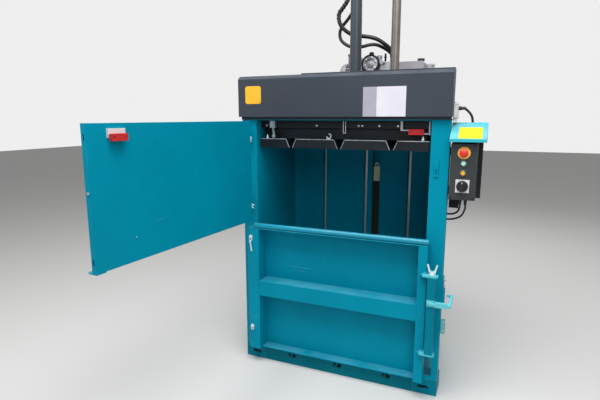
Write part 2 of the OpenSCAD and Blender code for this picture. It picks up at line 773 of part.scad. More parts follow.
// Control hood: folded plate with a sloped face and side flanges
hood_z = [cbox_z + cbox_h + 22, opening_z - 9];
module control_hood() {
    t = 3;
    x0 = half + 2;
    x1 = x0 + 168;
    y0 = -56;
    y1 = 60;
    slope = [[y1, hood_z[1]], [y0, hood_z[0] + 3], [y0, hood_z[0] - 12], [y0 + t, hood_z[0] - 12],
        [y0 + t, hood_z[0] + 1.2], [y1, hood_z[1] - 3.9]];
    cheek = [[y1, hood_z[1]], [y0, hood_z[0] + 3], [y0, hood_z[0] - 12], [y1, hood_z[0] - 12]];
    color(teal) at_front() {
        prism_x(slope, x0, x1);
        prism_x(cheek, x0, x0 + t);
        prism_x(cheek, x1 - t, x1);
        box(x0, x1, y1, y1 + t, hood_z[0] - 18, hood_z[1]);
    }
}

// Mounting plate behind the control box, with its arm to the post
module control_mount() {
    y = cb_y0 + cbox_d;
    x1 = cb_x0 + cbox_w + 21;
    color(charcoal) at_front() difference() {
        union() {
            box(half + 1, x1, y, y + 5, cbox_z - 66, hood_z[0] + 20);
            box(half + 1, half + 6, post_d - 30, y, cbox_z + 20, cbox_z + 60);
            box(half + 1, half + 6, post_d - 30, y, cbox_z + cbox_h - 60, cbox_z + cbox_h - 20);
            box(half, half + 1, post_d - 30, post_d, cbox_z + 20, cbox_z + 60);
            box(half, half + 1, post_d - 30, post_d, cbox_z + cbox_h - 60, cbox_z + cbox_h - 20);
            box(cb_x0 + 10, cb_x0 + cbox_w - 10, 63, y, hood_z[0] - 20, hood_z[0] - 14);
        }
        box(cb_x0 + cbox_w / 3, x1 + 1, y - 1, y + 6, cbox_z - 67, cbox_z - 6);
        bar_z(half + 86, 84, hood_z[0] - 21, hood_z[0] - 13, 4 * cable_r);
    }
}

// Control box: a thin shell, open behind against its mounting plate
module control_box() {
    t = cbox_t;
    y1 = cb_y0 + cbox_d;
    color([0.24, 0.27, 0.27]) at_front() difference() {
        box(cb_x0, cb_x0 + cbox_w, cb_y0, y1, cbox_z, cbox_z + cbox_h);
        box(cb_x0 + t, cb_x0 + cbox_w - t, cb_y0 + t, y1 + 1, cbox_z + t, cbox_z + cbox_h - t);
        bar_y(btn_x, estop_z, cb_y0 - 1, cb_y0 + t + 1, 22);
        for (z = [start_z, return_z]) bar_y(btn_x, z, cb_y0 - 1, cb_y0 + t + 1, 22);
        bar_y(btn_x, switch_z, cb_y0 - 1, cb_y0 + t + 1, 14);
    }
}

// Emergency stop: fixed yellow collar and moving mushroom head
estop_travel = 5;
stem_d = 16;
module estop_collar() {
    color([0.95, 0.72, 0.10]) at_front() difference() {
        union() {
            bar_y(btn_x, estop_z, cb_y0 - 5, cb_y0, collar_d);
            bar_y(btn_x, estop_z, cb_y0 - 14, cb_y0 - 5, 40);
            bar_y(btn_x, estop_z, cb_y0, cb_y0 + 20, 22);
        }
        bar_y(btn_x, estop_z, cb_y0 - 15, cb_y0 + 21, stem_d + 1);
    }
}
module estop_button() {
    color([0.82, 0.10, 0.10]) at_front() translate([btn_x, cb_y0 - 14 - estop_travel - 1, estop_z])
        rotate([90, 0, 0]) {
            rotate_extrude() polygon([[0, 0], [17, 0], [20, 3], [20, 9], [18, 13], [13, 16], [6, 17.5], [0, 18]]);
            translate([0, 0, -30]) cylinder(d = stem_d, h = 30);
        }
}

// Two push buttons in metal bezels
button_travel = 4;
cap_d = 20;
module button_bezels() {
    color(zinc) at_front() for (z = [start_z, return_z]) difference() {
        union() {
            bar_y(btn_x, z, cb_y0 - 6, cb_y0, bezel_d);
            bar_y(btn_x, z, cb_y0, cb_y0 + 20, 22);
        }
        bar_y(btn_x, z, cb_y0 - 7, cb_y0 + 21, cap_d - 2 + 1);
        bar_y(btn_x, z, cb_y0 - 7, cb_y0 + 2, cap_d + 1);
    }
}
module push_cap(z) {
    at_front() {
        bar_y(btn_x, z, cb_y0 - 8, cb_y0 - 3, cap_d);
        bar_y(btn_x, z, cb_y0 - 3, cb_y0 + 14, cap_d - 2);
    }
}
module start_button() {
    color([0.35, 0.80, 0.60]) push_cap(start_z);
}
module return_button() {
    color([0.90, 0.65, 0.10]) push_cap(return_z);
}

// Main switch: square plate and turning knob
module switch_plate() {
    color([0.86, 0.86, 0.86]) at_front() difference() {
        box(btn_x - switch_w / 2, btn_x + switch_w / 2, cb_y0 - 4, cb_y0, switch_z - switch_w / 2,
            switch_z + switch_w / 2);
        bar_y(btn_x, switch_z, cb_y0 - 5, cb_y0 + 1, 13);
    }
}
module switch_knob() {
    r = knob_d / 2;
    color(black) at_front() translate([btn_x, cb_y0 - 4 - run_gap, switch_z]) rotate([90, 0, 0]) {
        cylinder(r = r, h = 12);
        translate([0, 0, 12]) cylinder(r1 = r - 3, r2 = r - 6, h = 6);
        translate([-8, -r + 2, 12]) cube([16, 2 * r - 4, 20]);
        translate([0, 0, -20]) cylinder(d = 12, h = 20);
    }
}

// Glands where the cables enter the header, the control box and the side of the frame
module cable_glands() {
    color(black) at_front() {
        box(half + 6, half + 28, 20, 60, opening_z + 10, opening_z + 84);
        box(half + 6, half + 22, 24, 56, opening_z - 4, opening_z + 10);
        bar_x(40, 1556, half + 28, cable_top[0][0], 20);
        bar_z(half + 86, 84, cbox_z + cbox_h, 1396, 18);
        for (x = [half + 60, half + 86]) bar_z(x, 45, 1092, cbox_z, 18);
        bar_x(232, 985, in_x + wall_t, half - 74, 18);
        bar_x(254, 950, in_x + wall_t, half - 74, 18);
    }
}

// Axle for the strap reels on two arms behind the frame
module strap_axle() {
    x = rear_x - 15;
    color(zinc) at_front() {
        bar_x(body_d + axle_back, axle_z, -x - 10, x + 10, axle_d);
        both_sides() prism_x([[body_d, axle_z - 70], [body_d + axle_back, axle_z - 22],
            [body_d + axle_back + 22, axle_z], [body_d + axle_back, axle_z + 22], [body_d, axle_z + 40]],
            x - 8, x);
    }
}

// Brackets welded to the frame: knuckles and lugs of the doors, lugs of the ejector, catch of the upper door
// and nose of the bale door lock
catch_x = half - 60;
catch_z = opening_z - 240;
module post_brackets() {
    z = lock_arm_z;
    color(teal) at_front() {
        for (z = upper_hinge_z, s = [-1, 1]) {
            zc = z + s * (knuckle_h + run_gap);
            difference() {
                union() {
                    bar_z(uh_x, uh_y, zc - knuckle_h / 2, zc + knuckle_h / 2, knuckle_d);
                    box(uh_x - knuckle_d / 2, uh_x - knuckle_d / 2 + 7, uh_y, 0, zc - knuckle_h / 2,
                        zc + knuckle_h / 2);
                }
                bar_z(uh_x, uh_y, zc - knuckle_h, zc + knuckle_h, upper_pin_d + slide_fit);
            }
        }
        for (z = bale_hinge_z) difference() {
            union() {
                bar_z(bh_x, bh_y, z - bale_lug_h / 2, z + bale_lug_h / 2, bale_pin_d + 8);
                box(bh_x - 8, bh_x + 8, bh_y, 0, z - bale_lug_h / 2, z + bale_lug_h / 2);
            }
            bar_z(bh_x, bh_y, z - bale_lug_h, z + bale_lug_h, bale_pin_d + slide_fit);
        }
        for (s = [-1, 1]) box(ejector_x + s * (ejector_w / 2 + 5) - 4, ejector_x + s * (ejector_w / 2 + 5) + 4,
            ej_y - 12, ej_y + 12, floor_z, ej_z + 12);
        bar_x(ej_y, ej_z, ejector_x - ejector_w / 2 - 8, ejector_x + ejector_w / 2 + 8, ej_pin_d);
        difference() {
            box(catch_x - 10, catch_x + 10, -5, 0, catch_z - 44, catch_z + 44);
            box(catch_x - 4, catch_x + 4, -6, 1, catch_z - 34, catch_z - 6);
        }
        bar_y(catch_x, catch_z + 22, -5.6, -4, 10);
        prism_z([[half, 2], [keeper_x, 6], [keeper_x, 28], [half, 44]], z - 30, z + 46);
        box(half, half + 6, 2, 48, z - 30, z + 110);
        difference() {
            box(half, half + 26, 10, 15, stop_z, stop_z + 84);
            for (h = [18, 66]) bar_y(half + 17, stop_z + h, 9, 16, 9);
        }
    }
}
stop_z = 368;

// Bolts of the crown, the baffle and the keeper
baffle_bolts = [-456, -140, 104, 125, 219, 319];
module frame_bolts() {
    color(zinc) at_front() {
        for (sx = [-1, 1], sy = [-1, 1]) {
            translate([sx * bolt_dx, cyl_y + sy * bolt_dy, crown_z + flange_t])
                hex_bolt(crown_bolt_d, flange_t + crown_t);
            translate([guide_x + sx * bush_dx, cyl_y + sy * bolt_dy, crown_z + 12])
                hex_bolt(crown_bolt_d, 12 + crown_t);
        }
        for (x = baffle_bolts) translate([x, 58, opening_z - 30]) rotate([90, 0, 0]) cylinder(d = 13, h = 6, $fn = 6);
        for (z = [lock_arm_z + 62, lock_arm_z + 92]) translate([half + 6, 24, z]) rotate([0, 90, 0])
            cylinder(d = 16, h = 8, $fn = 6);
    }
}

// Ejector belt hanging in its recess from a hook
belt_y = back_y + 14;
belt_top = 1190;
module ejector_belt() {
    x = ejector_x;
    color([0.55, 0.52, 0.42]) at_front() {
        box(x - 19, x + 19, belt_y, belt_y + 4, floor_z + 34, belt_top - 100);
        box(x - 22, x + 22, belt_y - 3, belt_y + 7, belt_top - 100, belt_top);
        difference() {
            bar_y(x, belt_top + 12, belt_y, belt_y + 4, 32);
            bar_y(x, belt_top + 12, belt_y - 1, belt_y + 5, 20);
        }
        bar_y(x, belt_top + 12 + 6 - run_gap, belt_y - 6, back_y + recess_d - wall_t, 8);
    }
}

// The upper door, drawn shut and then swung open about its hinge line
module swung() {
    at_front() translate([uh_x, uh_y, 0]) rotate([0, 0, -udoor_open]) translate([-uh_x, -uh_y, 0]) children();
}
upper_pin_d = 8;
udoor_x0 = uh_x + knuckle_d / 2 + 3;
udoor_x1 = uh_x + udoor_w;
module upper_door() {
    t = udoor_t;
    y1 = uh_y + udoor_d;
    x1 = udoor_x1;
    slots = [udoor_z0 + 45, udoor_z1 - 54];
    color(teal) swung() difference() {
        union() {
            box(udoor_x0, x1, uh_y, uh_y + t, udoor_z0, udoor_z1);
            box(udoor_x0, udoor_x0 + t, uh_y, y1, udoor_z0, udoor_z1);
            box(x1 - t, x1, uh_y, y1, udoor_z0, udoor_z1);
            box(udoor_x0, x1, uh_y, y1, udoor_z0, udoor_z0 + t);
            box(udoor_x0, x1, uh_y, y1, udoor_z1 - t, udoor_z1);
            box(udoor_x0, x1, y1 - t, y1, udoor_z0, udoor_z1);
            prism_z([[x1 - 46, uh_y - 34], [x1 - 8, uh_y - 34], [x1, uh_y - 22], [x1, y1], [x1 - 46, y1]],
                udoor_z0 - 4, udoor_z0);
            prism_x([[uh_y, udoor_z0], [uh_y - 30, udoor_z0], [uh_y, udoor_z0 + 30]], x1 - 30, x1 - 26);
            for (z = upper_hinge_z) {
                bar_z(uh_x, uh_y, z - knuckle_h / 2, z + knuckle_h / 2, knuckle_d);
                box(uh_x, udoor_x0 + 1, uh_y, uh_y + 4, z - knuckle_h / 2, z + knuckle_h / 2);
            }
        }
        for (z = upper_hinge_z)
            bar_z(uh_x, uh_y, z - knuckle_h, z + knuckle_h, upper_pin_d);
        for (z = slots) box(x1 - t - 1, x1 + 1, uh_y + 8, uh_y + 16, z - 13, z + 13);
    }
}
module upper_door_hardware() {
    l = knuckle_h * 1.5 + 4;
    z = opening_z - 269;
    y = uh_y + udoor_d;
    color(zinc) {
        at_front() for (zh = upper_hinge_z) {
            bar_z(uh_x, uh_y, zh - l, zh + l, upper_pin_d);
            bar_z(uh_x, uh_y, zh + l - 2, zh + l + 3, upper_pin_d + 5);
        }
        swung() {
            bar_x(uh_y + 17, z, udoor_x1, udoor_x1 + 5, 11);
            bar_y(udoor_x1 - 210, udoor_z0 + 105, y, y + 3, 7);
        }
    }
}

// Coded actuator of the door switch on its white bracket
act_x = [uh_x + 930, uh_x + 1012];
module actuator_bracket() {
    y0 = uh_y + udoor_d;
    color([0.86, 0.87, 0.88]) swung() {
        box(act_x[0], act_x[1] + 2, y0, y0 + 3, sw_z[0] + 12, sw_z[1] + 20);
        box(act_x[0], act_x[1] + 2, y0 + 3, y0 + 11, sw_z[1] + 17, sw_z[1] + 20);
        box(act_x[0], act_x[1] + 2, y0 + 8, y0 + 11, sw_z[1] - 6, sw_z[1] + 17);
    }
}
module door_actuator() {
    y0 = uh_y + udoor_d + 11;
    color([0.75, 0.12, 0.13]) swung() difference() {
        box(act_x[0] + 2, act_x[1] - 2, y0, y0 + 18, sw_z[0], sw_z[1]);
        for (x = [act_x[0] + 12, act_x[1] - 12])
            bar_y(x, (sw_z[0] + sw_z[1]) / 2, y0 + 14, y0 + 19, 9);
    }
}

hinge_slope_d = 14;
// Bale door: hinge stile, lock stile and rails folded in front of one inner skin
module bale_door() {
    t = bdoor_t;
    f = -bdoor_out;
    s = skin_in;
    edge = in_x - skin_gap;
    z0 = bdoor_z0;
    z1 = bdoor_z1;
    c = bd_x0 + hinge_slope_w;
    d = hinge_slope_d;
    hinge_stile = [[bd_x0, -8], [bd_x0, f + d], [c, f], [rec_x0, f], [rec_x0, s], [rec_x0 - t, s],
        [rec_x0 - t, f + t], [c + 1, f + t], [bd_x0 + t, f + d + 2.4], [bd_x0 + t, -8]];
    lock_stile = [[bd_x1, -3], [bd_x1, f], [rec_x1, f], [rec_x1, s], [rec_x1 + t, s], [rec_x1 + t, f + t],
        [bd_x1 - t, f + t], [bd_x1 - t, -3]];
    mr = [mid_rail_z, mid_rail_z + mid_rail_h];
    color(teal) at_front() difference() {
        union() {
            box(-edge, edge, s, s + t, z0, z1);
            prism_z(hinge_stile, z0, z1);
            prism_z(lock_stile, z0, z1);
            prism_x(channel(f, s, mr[0], mr[1], t), rec_x0, rec_x1);
            box(rec_x0, rec_x1, f, s, z1 - t, z1);
            prism_z([[bd_x0, -8], [bd_x0, f + d], [c, f], [bd_x1, f], [bd_x1, -8]], z1 - t, z1);
            prism_x([[-ledge_out, z0 - 2], [-ledge_out + t, z0 - 2], [-ledge_out + t, z0], [s, z0], [s, z0 + t],
                [-ledge_out, z0 + t]], rec_x0, rec_x1);
            for (z = bale_hinge_z, e = [-1, 1]) {
                zc = z + e * (bale_lug_h / 2 + 1 + 5);
                prism_z([[bd_x0 + 1, f + d + 2.4], [c + 1, f + t - 1], [rec_x0, f + t - 1], [rec_x0, -14],
                    [bh_x + 8, bh_y + 20], [bd_x0, bh_y + 20]], zc - 5, zc + 5);
            }
            for (z = [lock_low_z, lock_top_z]) lock_lug(z);
        }
        for (z = bale_hinge_z) {
            bar_z(bh_x, bh_y, z - bale_lug_h, z + bale_lug_h, bale_pin_d);
            box(bd_x0 - 1, bd_x0 + t + 1, bh_y - 20, 0, z - bale_lug_h / 2 - 1, z + bale_lug_h / 2 + 1);
        }
        for (z = [lock_low_z, lock_top_z]) bar_z(lk_x, lk_y, z - 11, z + 11, lock_pin_d + slide_fit);
    }
}
module lock_lug(z) {
    h = lock_lug_t / 2;
    prism_z([[bd_x1 - 29, -bdoor_out], [bd_x1 - 29, lk_y - 8], [bd_x1 - 17, lk_y - 20], [lk_x + 22, lk_y - 20],
        [lk_x + lug_reach, lk_y - 12], [lk_x + lug_reach, lk_y + 12], [lk_x + 22, lk_y + 20],
        [bd_x1, lk_y + 20], [bd_x1, -bdoor_out]], z - h, z + h);
}
module door_top_bar() {
    color(teal) at_front() {
        bar_x(-bdoor_out + rail_d / 2, rail_z - rail_d / 2, bd_x0 + 52, bd_x1 + 1, rail_d);
    }
}
module bale_hinge_pins() {
    l = bale_lug_h / 2 + 15;
    color(zinc) at_front() for (z = bale_hinge_z) {
        bar_z(bh_x, bh_y, z - l, z + l, bale_pin_d);
        bar_z(bh_x, bh_y, z + l - 4, z + l, bale_pin_d + 8);
        translate([bd_x0 + hinge_slope_w + 9, -bdoor_out, z]) rotate([90, 0, 0]) cylinder(d = 18, h = 7, $fn = 6);
    }
}

// Lock: square bar on two pivot pins, with an arm and a hooked finger round the post
arm_end = keeper_x + 42;
module lock_bar() {
    z0 = lock_low_z + lock_lug_t / 2 + 0.5;
    z1 = lock_top_z - lock_lug_t / 2 - 0.5;
    w = lock_w / 2;
    az = lock_arm_z;
    color(teal) at_front() {
        box(lk_x - w, lk_x + w, lk_y - w, lk_y + w, z0, z1);
        bar_z(lk_x, lk_y, lock_low_z - 18, z0, lock_pin_d);
        bar_z(lk_x, lk_y, z1, lock_top_z + 30, lock_pin_d);
        prism_z([[lk_x - w, lk_y - w + 1], [lk_x - w, lk_y - w], [lk_x - w + 3, lk_y - w - 6],
            [lk_x - 6, lk_y - w - arm_t + 0.5], [lk_x + 2, lk_y - w - arm_t], [arm_end, lk_y - w - arm_t],
            [arm_end, 45], [keeper_x + 9, 45], [keeper_x + 9, 33], [arm_end - 14, 33],
            [arm_end - 14, lk_y - w + 1]], az - lock_arm_h / 4, az + lock_arm_h / 4);
        prism_z([[lk_x + w + 3, lk_y - w - arm_t], [arm_end - 16, lk_y - w - arm_t], [arm_end - 16, lk_y - w + 5],
            [lk_x + w + 3, lk_y - w + 5]], az - lock_arm_h / 2, az + lock_arm_h / 2);
    }
}
arm_t = 12;
module lock_wing_nut() {
    z = lock_top_z + lock_lug_t / 2 + 0.5;
    color(zinc) at_front() difference() {
        union() {
            translate([lk_x, lk_y, z]) cylinder(d = 34, h = 12, $fn = 6);
            bar_z(lk_x, lk_y, z + 11, z + 22, 26);
            prism_y([[lk_x - 27, z + 54], [lk_x - 20, z + 56], [lk_x - 9, z + 22], [lk_x + 9, z + 22],
                [lk_x + 20, z + 56], [lk_x + 27, z + 54], [lk_x + 17, z + 14], [lk_x - 17, z + 14]],
                lk_y - 4, lk_y + 4);
        }
        bar_z(lk_x, lk_y, z - 1, z + 60, lock_pin_d);
    }
}

// Press plate: four folded trays, parted by strap notches that taper to an open slot
tray_edges = [-plate_x, strap_x[0], strap_x[1], strap_x[2], plate_x];
function tray_pts(i, inset) = let (
    l = tray_edges[i], r = tray_edges[i + 1],
    ll = i == 0 ? l : l + notch_low_w / 2, lt = i == 0 ? l : l + notch_top_w / 2,
    rl = i == 3 ? r : r - notch_low_w / 2, rt = i == 3 ? r : r - notch_top_w / 2)
    [[ll + inset, 0], [rl - inset, 0], [rt - inset, plate_h], [lt + inset, plate_h]];
module tray_solid(i, inset) {
    c = corner_cut + wall_t * sqrt(2);
    x = plate_x - inset;
    y0 = plate_y0 + inset;
    y1 = plate_y1 - inset;
    k = c - plate_gap + inset * 0.6;
    intersection() {
        prism_y([for (p = tray_pts(i, inset)) [p[0], p[1] + plate_z]], y0, y1);
        prism_z([[-x, y0], [x, y0], [x, y1 - k], [x - k, y1], [k - x, y1], [-x, y1 - k]], plate_z,
            plate_z + plate_h);
    }
}
module press_plate() {
    color(charcoal) at_front() {
        for (i = [0:3]) difference() {
            tray_solid(i, 0);
            translate([0, 0, plate_t]) tray_solid(i, plate_t);
        }
        for (x = fitting_x) box(x - 14, x + 14, plate_y0 + plate_t, plate_y0 + 34, beams_z - plate_t, beams_z);
    }
}
fitting_x = [-451, -66, 451];

// Beams that join the trays and carry the rod and the guide tube
module rhs_x(x0, x1, y0, y1) {
    prism_x([[y0, beams_z], [y1, beams_z], [y1, hub_z], [y0, hub_z]], x0, x1);
}
module press_beams() {
    t = plate_t;
    front_y = plate_y0 + 48;
    rear_y = plate_y1 - 92;
    wide = plate_x - 20;
    color(charcoal) at_front() {
        difference() {
            rhs_x(-wide, wide, front_y, front_y + 50);
            box(-wide - 1, wide + 1, front_y + t, front_y + 50 - t, beams_z + t, hub_z - t);
        }
        difference() {
            rhs_x(-wide + 40, wide - 40, rear_y, rear_y + 50);
            box(-wide + 39, wide - 39, rear_y + t, rear_y + 50 - t, beams_z + t, hub_z - t);
        }
        rhs_x(-70, guide_x + 60, cyl_y - 60, cyl_y + 60);
        for (x = [-40, guide_x]) {
            prism_y(channel(x - 25, x + 25, beams_z, hub_z, t), front_y + 50, rear_y);
        }
        for (x = [-400, 380]) prism_y(channel(x - 20, x + 20, beams_z, hub_z, t), front_y + 50, rear_y);
    }
}
module piston_rod() {
    color([0.85, 0.86, 0.88]) at_front() {
        bar_z(0, cyl_y, hub_z, hub_z + 14, 110);
        bar_z(0, cyl_y, hub_z + 14, piston_top - piston_h, rod_d);
        bar_z(0, cyl_y, piston_top - piston_h, piston_top, bore_d - slide_fit);
    }
}
guide_top = barrel_top - 5;
module guide_tube() {
    color([0.52, 0.50, 0.48]) at_front() {
        difference() {
            bar_z(guide_x, cyl_y, hub_z, guide_top, guide_d);
            bar_z(guide_x, cyl_y, hub_z + 8, guide_top - 6, guide_d - 8);
        }
        box(guide_x - 50, guide_x + 50, cyl_y - 50, cyl_y + 50, hub_z, hub_z + 8);
    }
}

// Cone stops at both ends of the press plate and the hook that takes the ejector belt
module plate_fittings() {
    y = plate_y0 + 20;
    color(zinc) at_front() {
        for (x = [fitting_x[0], fitting_x[2]]) translate([x, y, beams_z]) {
            cylinder(d = 22, h = 6);
            translate([0, 0, 6]) cylinder(d1 = 18, d2 = 8, h = 18);
        }
        x = fitting_x[1];
        box(x - 12, x + 12, y - 8, y + 8, beams_z, beams_z + 5);
        difference() {
            bar_y(x, beams_z + 18, y - 4, y + 4, 32);
            bar_y(x, beams_z + 18, y - 5, y + 5, 18);
            box(x - 20, x, y - 5, y + 5, beams_z + 16, beams_z + 40);
        }
    }
}

// Ejector arm: a tipping plate on the chamber floor, hinged near the door
module ejector_arm() {
    x0 = ejector_x - ejector_w / 2;
    x1 = ejector_x + ejector_w / 2;
    z = floor_z + run_gap;
    color(teal) at_front() difference() {
        union() {
            bar_x(ej_y, ej_z, x0, x1, 22);
            box(x0, x1, ej_y, chamber_d - 12, z, z + 8);
            for (x = [x0 + 8, x1 - 14]) prism_x([[ej_y + 6, z + 8], [chamber_d - 12, z + 8],
                [chamber_d - 40, z + 24], [ej_y + 10, z + 24]], x, x + 6);
        }
        bar_x(ej_y, ej_z, x0 - 1, x1 + 1, ej_pin_d + slide_fit);
        bar_z(ejector_x, chamber_d - 34, z - 1, z + 9, 16);
    }
}

base_frame();
base_feet();
front_sill();
floor_plate();
left_side();
right_side();
corner_plates();
back_wall();
rear_ribs();
strap_channels();
strap_guides();
top_frame();
header_cover();
top_baffle();
cylinder_barrel();
cylinder_ends();
guide_bush();
pack_tray();
pack_guard();
power_motor();
pump_block();
valve_coils();
oil_tank();
tank_cap();
hoses();
hose_fittings();
door_switch();
switch_bracket();
limit_switch();
control_hood();
control_mount();
control_box();
estop_collar();
button_bezels();
switch_plate();
control_cables();
cable_glands();
strap_axle();
post_brackets();
frame_bolts();
ejector_belt();
upper_door();
upper_door_hardware();
actuator_bracket();
door_actuator();
bale_door();
door_top_bar();
bale_hinge_pins();
lock_bar();
lock_wing_nut();
press_plate();
press_beams();
piston_rod();
guide_tube();
plate_fittings();
ejector_arm();
estop_button();
start_button();
return_button();
switch_knob();
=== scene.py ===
import json
import math

import bpy
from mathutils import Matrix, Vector


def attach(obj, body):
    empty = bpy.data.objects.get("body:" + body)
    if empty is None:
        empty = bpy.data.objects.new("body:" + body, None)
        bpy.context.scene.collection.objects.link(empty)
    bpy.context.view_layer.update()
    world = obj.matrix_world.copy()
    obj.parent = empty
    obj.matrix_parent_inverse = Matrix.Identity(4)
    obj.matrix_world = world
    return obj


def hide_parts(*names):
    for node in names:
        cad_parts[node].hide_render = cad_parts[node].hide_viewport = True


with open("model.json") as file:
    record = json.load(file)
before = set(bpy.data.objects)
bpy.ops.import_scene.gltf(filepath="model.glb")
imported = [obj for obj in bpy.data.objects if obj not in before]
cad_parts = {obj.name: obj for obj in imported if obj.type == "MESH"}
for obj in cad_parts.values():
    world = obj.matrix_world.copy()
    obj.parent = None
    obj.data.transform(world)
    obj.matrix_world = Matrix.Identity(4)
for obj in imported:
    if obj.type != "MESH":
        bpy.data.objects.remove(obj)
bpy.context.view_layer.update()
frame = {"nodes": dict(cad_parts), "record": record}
nodes = frame["nodes"]
bpy.ops.object.select_all(action="DESELECT")
print("frame loaded,", len(nodes), "nodes")

# The camera stands where the photograph was taken, a little to the right and turned left
cameraSettings = {"place": (0.8104, -2.7642, 1.5134), "turn": (79.823, 0.06, 23.12), "lens": 27.686}


def placeCamera(s):
    bpy.ops.object.camera_add(location=s["place"], rotation=[math.radians(a) for a in s["turn"]])
    camera = bpy.context.object
    camera.data.lens = s["lens"]
    camera.data.sensor_width = 36.0
    camera.data.clip_end = 60.0
    bpy.context.scene.camera = camera


placeCamera(cameraSettings)

lightSettings = {
    "worldLight": 0.27,
    "backdrop": (0.86, 0.86, 0.86),
    "floor": (0.62, 0.62, 0.61),
    # name: (place, aimed at, width, height, power)
    "lamps": {
        "ceiling": ((0.2, -2.0, 4.7), (0.0, -0.3, 0.9), 4.0, 2.6, 262.0),
        "front": ((2.2, -4.6, 3.4), (0.0, -0.3, 1.1), 2.6, 2.2, 58.0),
        "left": ((-3.4, -3.0, 3.4), (0.0, -0.2, 1.0), 2.0, 2.0, 22.0),
        "behind": ((0.5, 3.6, 3.8), (0.0, 0.3, 1.3), 2.4, 2.0, 55.0),
    },
}


def placeLamp(name, place, aim, width, height, power):
    bpy.ops.object.light_add(type="AREA", location=place)
    lamp = bpy.context.object
    lamp.name = "lamp_" + name
    lamp.data.shape = "RECTANGLE"
    lamp.data.size = width
    lamp.data.size_y = height
    lamp.data.energy = power
    lamp.rotation_euler = (Vector(aim) - Vector(place)).to_track_quat("-Z", "Y").to_euler()


def lightTheScene(s):
    scene = bpy.context.scene
    scene.view_settings.view_transform = "Standard"
    world = bpy.data.worlds.new("studio")
    scene.world = world
    world.use_nodes = True
    tree = world.node_tree
    path = tree.nodes.new("ShaderNodeLightPath")
    seen = tree.nodes.new("ShaderNodeMath")
    seen.operation = "MAXIMUM"
    tree.links.new(path.outputs["Is Camera Ray"], seen.inputs[0])
    tree.links.new(path.outputs["Is Glossy Ray"], seen.inputs[1])
    glow = tree.nodes.new("ShaderNodeMapRange")
    glow.inputs["To Min"].default_value = s["worldLight"]
    glow.inputs["To Max"].default_value = 1.0
    tree.links.new(seen.outputs[0], glow.inputs["Value"])
    back = tree.nodes["Background"]
    back.inputs["Color"].default_value = (*s["backdrop"], 1.0)
    tree.links.new(glow.outputs[0], back.inputs["Strength"])
    for name, lamp in s["lamps"].items():
        placeLamp(name, *lamp)
    bpy.ops.mesh.primitive_plane_add(size=40.0, location=(0, 0, 0))
    floor = bpy.context.object
    floor.name = "studio_floor"
    mat = bpy.data.materials.new("studio_floor")
    mat.use_nodes = True
    shader = mat.node_tree.nodes["Principled BSDF"]
    shader.inputs["Base Color"].default_value = (*s["floor"], 1.0)
    shader.inputs["Roughness"].default_value = 0.7
    floor.data.materials.append(mat)


lightTheScene(lightSettings)
print("camera, lamps and floor placed")


# A colour as it is read off a screen, made linear
def fromScreen(r, g, b):
    return tuple((c / 255 / 12.92) if c / 255 <= 0.04045 else ((c / 255 + 0.055) / 1.055) ** 2.4
                 for c in (r, g, b)) + (1.0,)


def addNode(tree, kind, links=None, **values):
    made = tree.nodes.new("ShaderNode" + kind)
    for key, value in values.items():
        name = key.replace("_", " ")
        if hasattr(made, key) and name not in made.inputs:
            setattr(made, key, value)
        else:
            made.inputs[name].default_value = value
    for key, source in (links or {}).items():
        tree.links.new(source, made.inputs[key])
    return made


# Each input is named, numbered or given itself. A number or a colour is set on it, and anything else is linked
def feed(tree, made, values):
    for key, value in values.items():
        slot = made.inputs[key] if isinstance(key, (int, str)) else key
        if isinstance(value, (int, float, tuple)):
            slot.default_value = value
        else:
            tree.links.new(value, slot)


def objectPlace(tree, scale=(1, 1, 1), turn=(0, 0, 0)):
    spot = addNode(tree, "TexCoord")
    return addNode(tree, "Mapping", {"Vector": spot.outputs["Object"]}, Scale=scale, Rotation=turn).outputs[0]


def ramp(tree, value, low, high, toLow=0.0, toHigh=1.0):
    made = addNode(tree, "MapRange", {"Value": value})
    made.clamp = True
    feed(tree, made, {"From Min": low, "From Max": high, "To Min": toLow, "To Max": toHigh})
    return made.outputs[0]


def noiseMask(tree, scale, low, high, stretch=(1, 1, 1), turn=(0, 0, 0), detail=4.0, rough=0.55):
    tex = addNode(tree, "TexNoise", {"Vector": objectPlace(tree, stretch, turn)},
                  Scale=scale, Detail=detail, Roughness=rough)
    return ramp(tree, tex.outputs["Fac"], low, high)


def maths(tree, operation, *values):
    made = tree.nodes.new("ShaderNodeMath")
    made.operation = operation
    feed(tree, made, dict(enumerate(values)))
    return made.outputs[0]


def blendColour(tree, mask, a, b):
    made = tree.nodes.new("ShaderNodeMix")
    made.data_type = "RGBA"
    first, second = [slot for slot in made.inputs if slot.type == "RGBA"]
    feed(tree, made, {"Factor": mask, first: a, second: b})
    return [slot for slot in made.outputs if slot.type == "RGBA"][0]


def edgeMask(tree, radius):
    soft = addNode(tree, "Bevel", Radius=radius, samples=6)
    flat = addNode(tree, "NewGeometry")
    dot = tree.nodes.new("ShaderNodeVectorMath")
    dot.operation = "DOT_PRODUCT"
    tree.links.new(soft.outputs[0], dot.inputs[0])
    tree.links.new(flat.outputs["Normal"], dot.inputs[1])
    return ramp(tree, dot.outputs["Value"], 0.985, 0.80), soft.outputs[0]


def upMask(tree, low=0.55, high=0.95):
    side = tree.nodes.new("ShaderNodeSeparateXYZ")
    flat = addNode(tree, "NewGeometry")
    tree.links.new(flat.outputs["Normal"], side.inputs[0])
    return ramp(tree, side.outputs["Z"], low, high)


def newFinish(name):
    mat = bpy.data.materials.new(name)
    mat.use_nodes = True
    return mat, mat.node_tree, mat.node_tree.nodes["Principled BSDF"]


def product(tree, first, *others):
    for value in others:
        first = maths(tree, "MULTIPLY", first, value)
    return first


